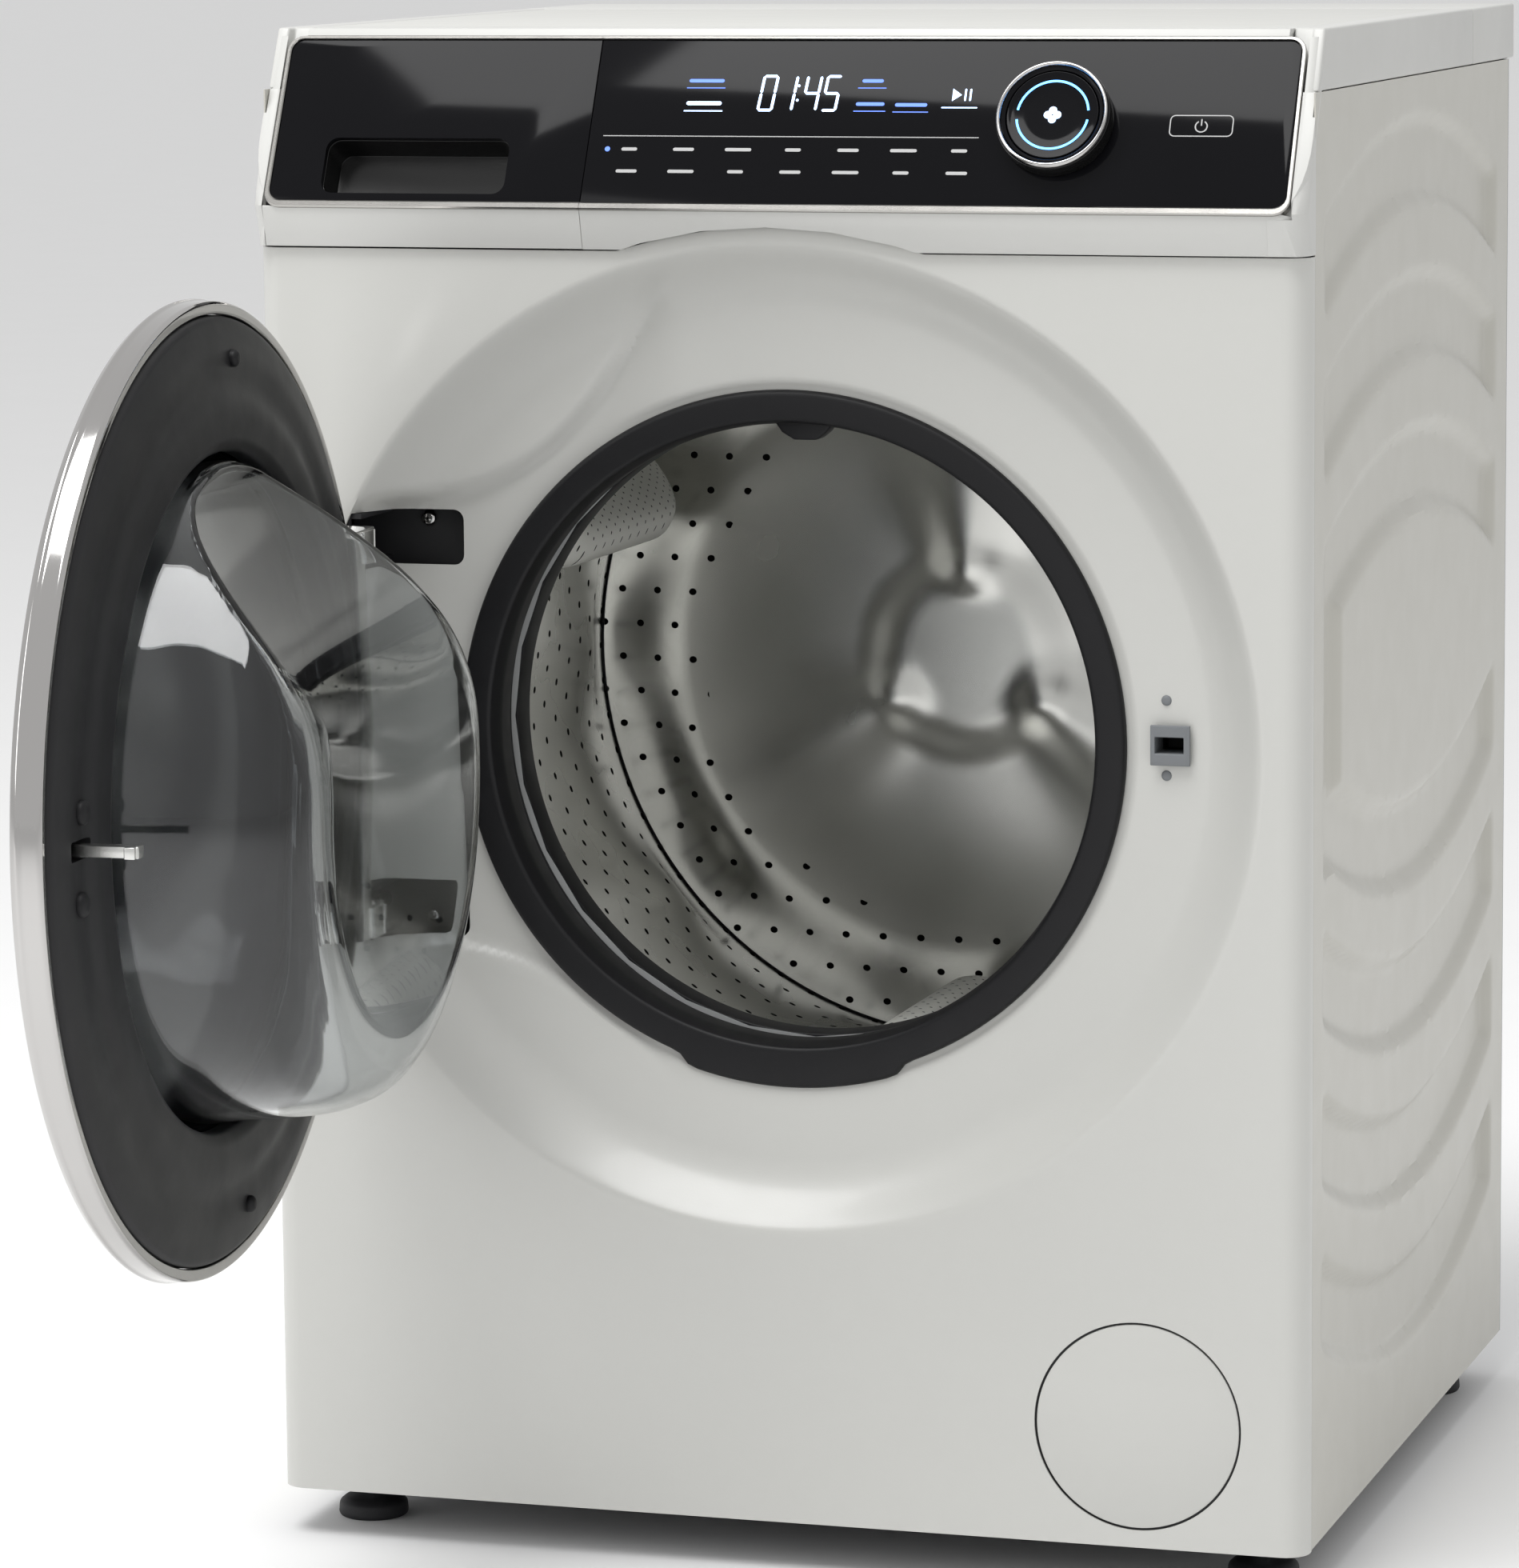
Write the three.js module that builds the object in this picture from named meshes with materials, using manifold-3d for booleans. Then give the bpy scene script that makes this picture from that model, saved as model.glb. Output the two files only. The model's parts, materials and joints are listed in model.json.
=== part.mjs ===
// Front-load washing machine, free-standing, 60 cm class, shown with its door open.
// Millimetres. +Z up, the front faces -Y. Everything is drawn in cabinet coordinates
// (x = 0 on the centre line, y = 0 on the front panel, z = 0 on the floor) and the
// finished group is moved at the end so its box stands centred on the origin.
import * as THREE from 'three';
import { mergeVertices } from 'three/addons/utils/BufferGeometryUtils.js';
import Module from 'manifold-3d';

const wasm = await Module();
wasm.setup();

// ---------------------------------------------------------------- driving dimensions
const WIDTH = 595;
const HEIGHT = 850;
const DEPTH = 556;
const HALF = WIDTH / 2;
const CABINET_BOTTOM = 28;
const SEAM_Z = 731;
const WORKTOP_Z = 817;
const AXIS_Z = 463;
const SHEET = 1.2;
const PANEL = 2;
const GAP = 0.3;
const CORNER_R = 14;
const WRAP_Y = 16;

const DISH_R = 271;
const DISH_DEPTH = 32;
const PORT_R = 188;
const POCKET_DEPTH = 34;
const POCKET_HALF_HEIGHT = 130;

const DOOR_R = 256;
const DOOR_RIM = 8;
const DOOR_OPEN_DEG = 86.9;
const PIVOT = { x: -248.1, y: 6.5 };
const HINGE_OFFSET_Z = 105;
const EYE_R = 4;
const PIN_R = 2;

const HOOK = { x: 217, z: AXIS_Z + 3 };
const FLAP = { x: 204, z: 94.5, r: 57 };

const TUB_R = 262;
const TUB_INNER_R = 256;
const DRUM_R = 240;
const LIFTER_ANGLES = [155, 275, 35];
const TUB_SPLIT_Y = 250;
const SHAFT_R = 15;
const SHAFT_BORE_R = 15.4;
const BEARING_R = 30;

const FASCIA = { y: -9, z: 754, run: 46, rise: 92 };
const FASCIA_LENGTH = Math.hypot(FASCIA.run, FASCIA.rise);
const FASCIA_HALF = 289;
const DRAWER_RIGHT = -105;
const DRAWER_LEFT = -290;
const KNOB = { x: 157.3, s: 51.7, r: 31 };

const FOOT = { x: 262, frontY: 55, rearY: 505, r: 20 };
const SPRING = { x: 225, y: 300, bottomZ: 640, topZ: 795 };
const DAMPER = { x: 150, y: 300, topZ: 150 };

// How many flats stand in for a circle: on the large rings, on the cuts that follow the dish
// rim, and on small turned parts.
const ROUND = 28;
const ARCH_ROUND = 48;
const SMALL = 14;

// ---------------------------------------------------------------- finishes
const FINISH = {
  white: { color: 0xd9d9d4, roughness: 0.35, metalness: 0.0 },
  plasticWhite: { color: 0xe0e0dc, roughness: 0.45, metalness: 0.0 },
  black: { color: 0x08080a, roughness: 0.08, metalness: 0.0 },
  darkPlastic: { color: 0x222224, roughness: 0.5, metalness: 0.0 },
  rubber: { color: 0x141416, roughness: 0.65, metalness: 0.0 },
  chrome: { color: 0xd8d8dc, roughness: 0.08, metalness: 1.0 },
  steel: { color: 0xb9bbbe, roughness: 0.28, metalness: 1.0 },
  galvanised: { color: 0x9aa0a3, roughness: 0.5, metalness: 0.9 },
  castMetal: { color: 0x8d9092, roughness: 0.55, metalness: 0.8 },
  glass: { color: 0x9fb0b4, roughness: 0.05, metalness: 0.0 },
  tubPlastic: { color: 0xbfc3c4, roughness: 0.6, metalness: 0.0 },
  concrete: { color: 0x8a8985, roughness: 0.9, metalness: 0.0 },
  copper: { color: 0xa5623a, roughness: 0.4, metalness: 0.9 },
  board: { color: 0x1f5b38, roughness: 0.6, metalness: 0.0 },
};

// ---------------------------------------------------------------- geometry helpers
const rad = THREE.MathUtils.degToRad;

// Turns a three.js geometry into a closed manifold solid, facing outwards.
function solid(geometry) {
  const source = geometry.clone();
  source.deleteAttribute('normal');
  source.deleteAttribute('uv');
  const merged = mergeVertices(source, 1e-4);
  const vertices = merged.getAttribute('position').array;
  const index = merged.getIndex().array;
  const triangles = [];
  let volume = 0;
  const [a, b, c] = [new THREE.Vector3(), new THREE.Vector3(), new THREE.Vector3()];
  for (let i = 0; i < index.length; i += 3) {
    const corners = [index[i], index[i + 1], index[i + 2]];
    if (new Set(corners).size < 3) continue;
    triangles.push(...corners);
    a.fromArray(vertices, 3 * corners[0]);
    b.fromArray(vertices, 3 * corners[1]);
    c.fromArray(vertices, 3 * corners[2]);
    volume += a.dot(b.cross(c));
  }
  if (volume < 0) triangles.reverse();
  const mesh = new wasm.Mesh({
    numProp: 3,
    vertProperties: new Float32Array(vertices),
    triVerts: new Uint32Array(triangles),
  });
  mesh.merge();
  return new wasm.Manifold(mesh);
}

const join = (...solids) => solids.reduce((sum, next) => sum.add(next));
const cut = (body, ...tools) => tools.reduce((rest, tool) => rest.subtract(tool), body);
const common = (first, second) => first.intersect(second);

function box(x0, x1, y0, y1, z0, z1) {
  const geometry = new THREE.BoxGeometry(x1 - x0, y1 - y0, z1 - z0);
  geometry.translate((x0 + x1) / 2, (y0 + y1) / 2, (z0 + z1) / 2);
  return solid(geometry);
}

function polygon(points) {
  return new THREE.Shape(points.map(([u, v]) => new THREE.Vector2(u, v)));
}

function roundedRect(u0, v0, u1, v1, r) {
  const shape = new THREE.Shape();
  shape.absarc(u0 + r, v0 + r, r, Math.PI, 1.5 * Math.PI);
  shape.absarc(u1 - r, v0 + r, r, 1.5 * Math.PI, 2 * Math.PI);
  shape.absarc(u1 - r, v1 - r, r, 0, 0.5 * Math.PI);
  shape.absarc(u0 + r, v1 - r, r, 0.5 * Math.PI, Math.PI);
  return shape;
}

function extrude(shape, depth, curveSegments) {
  return new THREE.ExtrudeGeometry(shape, { depth, bevelEnabled: false, curveSegments });
}

// Shape in plan (x, y), raised from z0 to z1.
function prism(shape, z0, z1, curveSegments = 4) {
  return solid(extrude(shape, z1 - z0, curveSegments).translate(0, 0, z0));
}

// Shape in front view (x, z), running back from y0 to y1.
function slab(shape, y0, y1, curveSegments = 4) {
  return solid(extrude(shape, y1 - y0, curveSegments).rotateX(Math.PI / 2).translate(0, y1, 0));
}

// Shape in side view (y, z), running across from x0 to x1.
function across(shape, x0, x1, curveSegments = 4) {
  const turn = new THREE.Matrix4().makeBasis(
    new THREE.Vector3(0, 1, 0), new THREE.Vector3(0, 0, 1), new THREE.Vector3(1, 0, 0));
  return solid(extrude(shape, x1 - x0, curveSegments).applyMatrix4(turn).translate(x0, 0, 0));
}

// Profile of (radius, y) points turned round a front-to-back axis through (x, z).
function turned(profile, segments = ROUND, x = 0, z = AXIS_Z) {
  const points = profile.map(([r, y]) => new THREE.Vector2(r, y));
  return solid(new THREE.LatheGeometry(points, segments).translate(x, 0, z));
}

// The same, but the profile is a ring that closes on itself.
function turnedRing(profile, segments = ROUND, x = 0, z = AXIS_Z) {
  return turned([...profile, profile[0]], segments, x, z);
}

// Profile of (radius, z) points turned round a vertical axis through (x, y).
function upright(profile, segments, x, y) {
  const points = profile.map(([r, z]) => new THREE.Vector2(r, z));
  return solid(new THREE.LatheGeometry(points, segments).rotateX(Math.PI / 2).translate(x, y, 0));
}

const rodBack = (r, y0, y1, x, z, segments = SMALL) =>
  turned([[0, y0], [r, y0], [r, y1], [0, y1]], segments, x, z);
const rodUp = (r, z0, z1, x, y, segments = 12) =>
  upright([[0, z0], [r, z0], [r, z1], [0, z1]], segments, x, y);

// Moves a solid drawn as (x, distance up the slope, height off it) on to the sloping fascia.
function onFascia(body) {
  const up = new THREE.Vector3(0, FASCIA.run, FASCIA.rise).normalize();
  const right = new THREE.Vector3(1, 0, 0);
  const out = right.clone().cross(up);
  const place = new THREE.Matrix4().makeBasis(right, up, out).setPosition(0, FASCIA.y, FASCIA.z);
  return body.transform(place.toArray());
}

function meshOf(name, body, finish) {
  const data = body.getMesh();
  const geometry = new THREE.BufferGeometry();
  geometry.setAttribute('position', new THREE.BufferAttribute(data.vertProperties, 3));
  geometry.setIndex(new THREE.BufferAttribute(data.triVerts, 1));
  geometry.computeVertexNormals();
  const mesh = new THREE.Mesh(geometry, new THREE.MeshStandardMaterial(FINISH[finish]));
  mesh.name = name;
  return mesh;
}

const machine = new THREE.Group();
machine.name = 'washing_machine';
const door = new THREE.Group();
door.name = 'door_assembly';
door.position.set(PIVOT.x, PIVOT.y, 0);
door.rotation.z = -rad(DOOR_OPEN_DEG);
machine.add(door);

const add = (name, body, finish) => machine.add(meshOf(name, body, finish));
// Door pieces are drawn closed, then carried to the hinge pin the door group turns on.
const addToDoor = (name, body, finish) =>
  door.add(meshOf(name, body.translate([-PIVOT.x, -PIVOT.y, 0]), finish));

// ---------------------------------------------------------------- cabinet skin
// Plan outline of the front skin: square at the back, rounded at the two front corners.
function frontOutline(inset, front, back, corner) {
  const half = HALF - inset;
  const r = corner - inset;
  const shape = new THREE.Shape();
  shape.moveTo(-half, back);
  shape.lineTo(-half, front + inset + r);
  shape.absarc(-half + r, front + inset + r, r, Math.PI, 1.5 * Math.PI);
  shape.absarc(half - r, front + inset + r, r, 1.5 * Math.PI, 2 * Math.PI);
  shape.lineTo(half, back);
  return shape;
}

// Hinge side of the dish, pressed deeper so the open door's edge can swing into it.
function pocket(grow, y0, y1) {
  const left = -DISH_R;
  const outline = roundedRect(
    left, AXIS_Z - POCKET_HALF_HEIGHT - grow, -PORT_R + 40, AXIS_Z + POCKET_HALF_HEIGHT + grow, 18);
  const dishWall = rodBack(DISH_R - 1.5 + grow, y0, y1, 0, AXIS_Z, ARCH_ROUND);
  const withinDish = common(slab(outline, y0, y1, 3), dishWall);
  return withinDish.subtract(rodBack(197 - grow, y0 - 1, y1 + 1, 0, AXIS_Z, ROUND));
}

function hingeSlot(side, y0, y1) {
  const z = AXIS_Z + side * HINGE_OFFSET_Z;
  return box(PIVOT.x - EYE_R - 2, -189, y0, y1, z - 16, z + 16);
}

function frontPanel() {
  const top = SEAM_Z + 20;
  const skin = cut(
    prism(frontOutline(0, 0, WRAP_Y, CORNER_R), CABINET_BOTTOM - 1, top),
    prism(frontOutline(PANEL, 0, WRAP_Y + 1, CORNER_R), CABINET_BOTTOM - 2, top + 1));
  const aboveSeam = cut(
    box(-HALF - 1, HALF + 1, -1, WRAP_Y + 1, SEAM_Z, top + 1),
    rodBack(DISH_R + 10, -2, WRAP_Y + 2, 0, AXIS_Z, ARCH_ROUND));
  const face = [[DISH_R, 0], [262, 13], [240, 22], [202, 30], [196, DISH_DEPTH]];
  const hollow = [[0, -1], [DISH_R, -1], ...face, [PORT_R, DISH_DEPTH], [PORT_R, 50], [0, 50]];
  const backing = [[0, 0], ...face.map(([r, y]) => [r + PANEL, y === 0 ? 0 : y + PANEL * 0.6])];
  backing.push([196, DISH_DEPTH + PANEL], [0, DISH_DEPTH + PANEL]);
  const pressed = join(skin.subtract(aboveSeam), turned(backing), pocket(PANEL, 0, POCKET_DEPTH + PANEL));
  return cut(
    pressed,
    turned(hollow),
    pocket(0, -1, POCKET_DEPTH),
    hingeSlot(1, 1.7, 60),
    hingeSlot(-1, 1.7, 60),
    rodBack(FLAP.r + 0.4, -1, 10, FLAP.x, FLAP.z, ROUND),
    box(HOOK.x - 10, HOOK.x + 10, -1, 60, HOOK.z - 10, HOOK.z + 10));
}

function sidePanel(side) {
  const outer = side * HALF;
  const slice = (depth, y0, y1, z0, z1) => side > 0
    ? box(outer - depth, outer, y0, y1, z0, z1)
    : box(outer, outer - side * depth, y0, y1, z0, z1);
  const back = DEPTH - SHEET - GAP;
  const top = WORKTOP_Z - GAP;
  return join(
    slice(SHEET, WRAP_Y + GAP, back, CABINET_BOTTOM, top),
    slice(18, 110, back, top - SHEET, top),
    slice(18, back - SHEET, back, CABINET_BOTTOM + 4, top),
    slice(HALF - SPRING.x + 14, SPRING.y - 14, SPRING.y + 14, SPRING.topZ, SPRING.topZ + 4));
}

function rearPanel() {
  const sheet = box(-HALF, HALF, DEPTH - SHEET, DEPTH, CABINET_BOTTOM, WORKTOP_Z - GAP);
  return cut(
    sheet,
    rodBack(150, DEPTH - 10, DEPTH + 10, 0, AXIS_Z, ROUND),
    rodBack(15, DEPTH - 10, DEPTH + 10, -200, 775),
    rodBack(9.4, DEPTH - 10, DEPTH + 10, 240, 700));
}

function rearServiceCover() {
  return turned([
    [0, DEPTH + 7], [118, DEPTH + 7], [146, DEPTH + GAP], [164, DEPTH + GAP],
    [164, DEPTH + GAP + SHEET], [147, DEPTH + GAP + SHEET], [119, DEPTH + 8.2], [0, DEPTH + 8.2],
  ]);
}

function footSockets(radius, z0, z1) {
  return [-1, 1].flatMap((side) => [FOOT.frontY, FOOT.rearY].map(
    (y) => rodUp(radius, z0, z1, side * FOOT.x, y)));
}

function baseTray() {
  const edge = HALF - SHEET - GAP;
  const pan = cut(
    box(-edge, edge, 18, DEPTH - 5, 30, 52),
    box(-edge + 2.5, edge - 2.5, 20.5, DEPTH - 7.5, 33, 60));
  return cut(join(pan, ...footSockets(14, 30, 54)), ...footSockets(6.3, 20, 70));
}

// ---------------------------------------------------------------- worktop
const CONSOLE_BACK = 52;
const CONSOLE_TOP_HALF = 278.6;
const WORKTOP_SPLIT_Y = 443;
const WORKTOP_BACK = 572;
const RAIL = 17;

function worktopFrame() {
  const outer = box(-HALF, HALF, 20.3, WORKTOP_SPLIT_Y, WORKTOP_Z, HEIGHT);
  const slope = onFascia(join(
    box(-HALF - 1, HALF + 1, -20, 130, -1, 60),
    box(-FASCIA_HALF - 1.5, FASCIA_HALF + 1.5, -20, 130, -9, 60)));
  return cut(
    outer,
    box(-CONSOLE_TOP_HALF - GAP, CONSOLE_TOP_HALF + GAP, 0, CONSOLE_BACK, WORKTOP_Z - 1, HEIGHT + 1),
    box(-HALF + RAIL, HALF - RAIL, CONSOLE_BACK + 14, WORKTOP_SPLIT_Y + 1, WORKTOP_Z - 1, HEIGHT + 1),
    slope);
}

function worktopRearTrim() {
  const outer = box(-HALF, HALF, WORKTOP_SPLIT_Y + GAP, WORKTOP_BACK, WORKTOP_Z, HEIGHT);
  const hollow = box(
    -HALF + 4, HALF - 4, WORKTOP_SPLIT_Y + 8, WORKTOP_BACK - 6, WORKTOP_Z - 1, HEIGHT - 6);
  return outer.subtract(hollow);
}

function worktopBoard() {
  const edge = HALF - RAIL - GAP;
  return box(-edge, edge, CONSOLE_BACK + 14 + GAP, WORKTOP_SPLIT_Y, HEIGHT - 17, HEIGHT - 0.2);
}

// ---------------------------------------------------------------- console and fascia
function consoleHousing() {
  const outside = polygon([
    [-3.5, SEAM_Z + 0.4], [FASCIA.y, FASCIA.z], [37, 846], [39.5, HEIGHT - 0.4],
    [CONSOLE_BACK - GAP, HEIGHT - 0.4], [CONSOLE_BACK - GAP, 790], [32, 790], [32, SEAM_Z + 0.4]]);
  const inside = polygon([
    [-1, SEAM_Z + 3], [-2, FASCIA.z], [44, 842], [46, HEIGHT - 3],
    [49, HEIGHT - 3], [49, 813], [60, 813], [60, SEAM_Z + 3]]);
  const rounded = (profile, inset) => common(
    across(profile, -HALF + inset, HALF - inset),
    prism(frontOutline(inset, FASCIA.y - 0.5, 70, 20), SEAM_Z, HEIGHT + 1));
  const shell = cut(rounded(outside, 0), rounded(inside, 2.5));
  const innerHalf = HALF - SHEET - GAP;
  const beside = (side, x, y, z0, z1) => box(
    Math.min(side * x, side * (HALF + 1)), Math.max(side * x, side * (HALF + 1)), y, 70, z0, z1);
  return cut(
    shell,
    ...[-1, 1].map((side) => beside(side, innerHalf, WRAP_Y, SEAM_Z - 1, WORKTOP_Z + 1)),
    ...[-1, 1].map((side) => beside(side, CONSOLE_TOP_HALF, 20, WORKTOP_Z - GAP, HEIGHT + 1)),
    onFascia(box(-FASCIA_HALF - GAP, FASCIA_HALF + GAP, 0.3, FASCIA_LENGTH - 0.3, -4.4, 10)),
    box(DRAWER_LEFT, DRAWER_RIGHT, -20, 21, SEAM_Z - 5, 812),
    onFascia(box(DRAWER_LEFT, DRAWER_RIGHT, -30, FASCIA_LENGTH - 1, -12, 10)),
    rodBack(DISH_R + 10.5, -20, 30, 0, AXIS_Z, ARCH_ROUND));
}

function trimFrame(x0, x1, openLeft) {
  const side = 4.5;
  const inner0 = openLeft ? x0 - 1 : x0 + side;
  const inner1 = openLeft ? x1 - side : x1 + 1;
  return onFascia(cut(
    box(x0, x1, 0.7, FASCIA_LENGTH - 0.8, -4, 1.2),
    box(inner0, inner1, 6, FASCIA_LENGTH - 4.2, -5, 2)));
}

const HANDLE = { x0: -257, x1: -150, s0: 8, s1: 41, depth: 25 };

function drawerGlass() {
  const plate = box(-FASCIA_HALF + 4.8, DRAWER_RIGHT - GAP, 6.3, FASCIA_LENGTH - 4.5, -3, 0);
  const recess = prism(roundedRect(HANDLE.x0, HANDLE.s0, HANDLE.x1, HANDLE.s1, 7), -9, 9, 3);
  return onFascia(plate.subtract(recess));
}

// Behind the glass: the white carrier with the finger recess, and the strip below the fascia.
function drawerFront() {
  const right = DRAWER_RIGHT - GAP;
  const left = DRAWER_LEFT + GAP;
  const plate = onFascia(box(left, right, 4, FASCIA_LENGTH - 5, -7.5, -4.3));
  const strip = across(polygon([
    [-3.5, SEAM_Z + 0.6], [FASCIA.y + 0.1, FASCIA.z - 0.3], [FASCIA.y + 7.5, FASCIA.z + 6],
    [FASCIA.y + 10, FASCIA.z + 6], [-0.5, SEAM_Z + 0.6]]), left, right);
  const wall = 2;
  const cup = onFascia(box(
    HANDLE.x0 - wall, HANDLE.x1 + wall, HANDLE.s0 - wall, HANDLE.s1 + wall, -HANDLE.depth - wall, -4.3));
  const hollow = onFascia(prism(
    roundedRect(HANDLE.x0, HANDLE.s0, HANDLE.x1, HANDLE.s1, 7), -HANDLE.depth, 9, 3));
  const trimSeat = onFascia(box(left - 1, right + 1, 0.4, FASCIA_LENGTH + 5, -4.3, 10));
  const aboveDish = rodBack(DISH_R + 10.8, -20, 40, 0, AXIS_Z, ARCH_ROUND);
  return cut(join(plate, strip.subtract(trimSeat), cup), hollow, aboveDish);
}

const TRAY = { x0: -279, x1: -118, front: 42, back: 255, z0: 758, z1: 806 };

function drawerTray() {
  const wall = 2;
  const outer = box(TRAY.x0, TRAY.x1, TRAY.front, TRAY.back, TRAY.z0, TRAY.z1);
  const third = (TRAY.x1 - TRAY.x0) / 3;
  const compartment = (i) => box(
    TRAY.x0 + i * third + wall / 2 + (i === 0 ? wall / 2 : 0),
    TRAY.x0 + (i + 1) * third - wall / 2 - (i === 2 ? wall / 2 : 0),
    TRAY.front + wall, TRAY.back - wall, TRAY.z0 + wall, TRAY.z1 + 1);
  const cheek = across(polygon([
    [3.5, TRAY.z0 + 2], [TRAY.front + 1, TRAY.z0 + 2],
    [TRAY.front + 1, TRAY.z1 - 4], [25, TRAY.z1 - 4]]), 0, wall);
  return join(
    cut(outer, compartment(0), compartment(1), compartment(2)),
    cheek.translate([TRAY.x0, 0, 0]),
    cheek.translate([TRAY.x1 - wall, 0, 0]));
}

function dispenserHousing() {
  const wall = 2;
  const clear = 2.5;
  const outer = box(
    TRAY.x0 - clear - wall, TRAY.x1 + clear + wall, TRAY.front + 4, TRAY.back + 22,
    TRAY.z0 - 6, TRAY.z1 + 5);
  const inner = box(
    TRAY.x0 - clear, TRAY.x1 + clear, TRAY.front, TRAY.back + 20, TRAY.z0 - 4, TRAY.z1 + 3);
  return cut(outer, inner);
}

function knobRing() {
  const profile = [[25.6, 0.5], [KNOB.r - 1, 0.5], [KNOB.r, 2], [KNOB.r, 11], [KNOB.r - 2, 13.5], [25.6, 12]];
  const ring = [...profile, profile[0]].map(([r, h]) => new THREE.Vector2(r, h));
  const body = solid(new THREE.LatheGeometry(ring, 24).rotateX(Math.PI / 2));
  return onFascia(body.translate([KNOB.x, KNOB.s, 0]));
}

function knobFace() {
  const points = [[0, 0.3], [25, 0.3], [25, 9], [0, 9]].map(([r, h]) => new THREE.Vector2(r, h));
  const body = solid(new THREE.LatheGeometry(points, 24).rotateX(Math.PI / 2));
  return onFascia(body.translate([KNOB.x, KNOB.s, 0]));
}

// ---------------------------------------------------------------- door
function doorTrimRing() {
  const inner = DOOR_R - DOOR_RIM;
  return turnedRing([
    [inner, -3], [inner + 1, -5], [DOOR_R - 4, -4], [DOOR_R, 1], [DOOR_R, 11], [DOOR_R - 2, 13],
    [inner, 13]]);
}

function doorOuterGlass() {
  const edge = DOOR_R - DOOR_RIM - GAP;
  return turned([
    [0, -14], [120, -12.8], [200, -9.5], [edge - 6, -5.5], [edge, -3.5], [edge, 0.6],
    [edge - 9, 0.6], [200, -5.5], [120, -8.8], [0, -10]]);
}

function doorInnerFrame() {
  const edge = DOOR_R - DOOR_RIM - GAP;
  const ring = turnedRing([
    [edge, 0.9], [edge, 14], [228, 18], [212, 18], [200, 22], [182, 22], [177, 19], [177, 6.2],
    [191, 6.2], [191, 0.9]]);
  return ring.subtract(box(HOOK.x - 11, HOOK.x + 11, 7.5, 30, HOOK.z - 5, HOOK.z + 5));
}

// Deep glass bowl: a flat end, cut away above by an oblique scoop that clears the load.
function doorBowl() {
  const wallProfile = [[174.5, 6], [174.5, 16], [169, 27], [168, 62], [161, 94], [140, 117]];
  const outside = turned([[0, 3], [189, 3], [189, 5.9], ...wallProfile, [0, 117]]);
  const thinner = wallProfile.map(([r, y]) => [r - 5, Math.min(y, 112)]);
  const inside = turned([[0, 2], ...thinner, [0, 112]]);
  const scoop = (lift) => across(polygon([
    [24 - lift, AXIS_Z + 190], [24 - lift, AXIS_Z + 158], [46 - lift, AXIS_Z + 120], [78 - lift, AXIS_Z + 82],
    [112 - lift, AXIS_Z + 52], [125, AXIS_Z + 46 - lift], [125, AXIS_Z + 190]]), -200, 200);
  const outer = outside.subtract(scoop(0));
  return outer.subtract(inside.subtract(scoop(5)));
}

// Leaf screwed to the inner frame, with two goosenecks reaching back round the hinge pin.
function doorHingeArm() {
  const halfArm = 8.5;
  const reach = [[0, 0], [6.6, 13.7], [18.6, 18.7], [34.6, 18.7]];
  const halfLeaf = HINGE_OFFSET_Z + halfArm;
  const leaf = box(-214, -199, 22.4, 25.4, AXIS_Z - halfLeaf, AXIS_Z + halfLeaf);
  const gooseneck = (side) => {
    const z = AXIS_Z + side * HINGE_OFFSET_Z;
    const links = reach.slice(1).map(([x, y], i) => {
      const [x0, y0] = reach[i];
      const length = Math.hypot(x - x0, y - y0);
      const link = new THREE.BoxGeometry(length + 4, 5, 2 * halfArm)
        .rotateZ(Math.atan2(y - y0, x - x0))
        .translate(PIVOT.x + (x + x0) / 2, PIVOT.y + (y + y0) / 2, z);
      return solid(link);
    });
    const eye = rodUp(EYE_R, z - halfArm, z + halfArm, PIVOT.x, PIVOT.y);
    const pad = box(-212, -199, 20.4, 25.4, z - halfArm, z + halfArm);
    return cut(join(eye, pad, ...links), rodUp(PIN_R + 0.4, z - 20, z + 20, PIVOT.x, PIVOT.y));
  };
  return join(leaf, gooseneck(1), gooseneck(-1));
}

function hingeBracket() {
  const plate = box(-262, -186, 52, 55, AXIS_Z - 128, AXIS_Z + 128);
  const fork = (side) => {
    const z = AXIS_Z + side * HINGE_OFFSET_Z;
    return join(
      box(PIVOT.x - 5, PIVOT.x + 9, 2.9, 53, z + 12.3, z + 15.3),
      box(PIVOT.x - 5, PIVOT.x + 9, 2.9, 53, z - 15.3, z - 12.3),
      rodUp(PIN_R, z - 14, z + 14, PIVOT.x, PIVOT.y));
  };
  return join(plate, fork(1), fork(-1));
}

function doorHook() {
  const { x, z } = HOOK;
  return join(
    box(x - 4, x + 4, 9, 50, z - 3, z + 3),
    box(x + 3, x + 7, 43.5, 49, z - 3, z + 3));
}

function doorLockBezel() {
  const { x, z } = HOOK;
  return cut(
    join(box(x - 11, x + 11, 22, 24, z - 11, z + 11), box(x - 9.5, x + 9.5, 24, 41.7, z - 9.5, z + 9.5)),
    box(x - 8.5, x + 7.5, 20, 50, z - 4.5, z + 4.5));
}

function doorLock() {
  const { x, z } = HOOK;
  return cut(
    box(x - 20, x + 22, 42, 74, z - 24, z + 30),
    box(x - 10, x + 10, 40, 60, z - 6, z + 6));
}

// Bellows between the front panel's round opening and the neck of the tub.
function doorGasket() {
  return turnedRing([
    [174, 28], [191, 28], [191, 31.6], [187.6, 31.6], [187.6, 34.5], [193, 34.5], [193, 38],
    [179, 39], [177, 56], [188, 62], [188, 86], [181.7, 86], [181.7, 74.6], [176, 73],
    [184, 69], [184, 64], [171.5, 60]]);
}

// ---------------------------------------------------------------- tub
const TUB_NECK = { r: 176, outer: 181.2, front: 75 };

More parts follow.
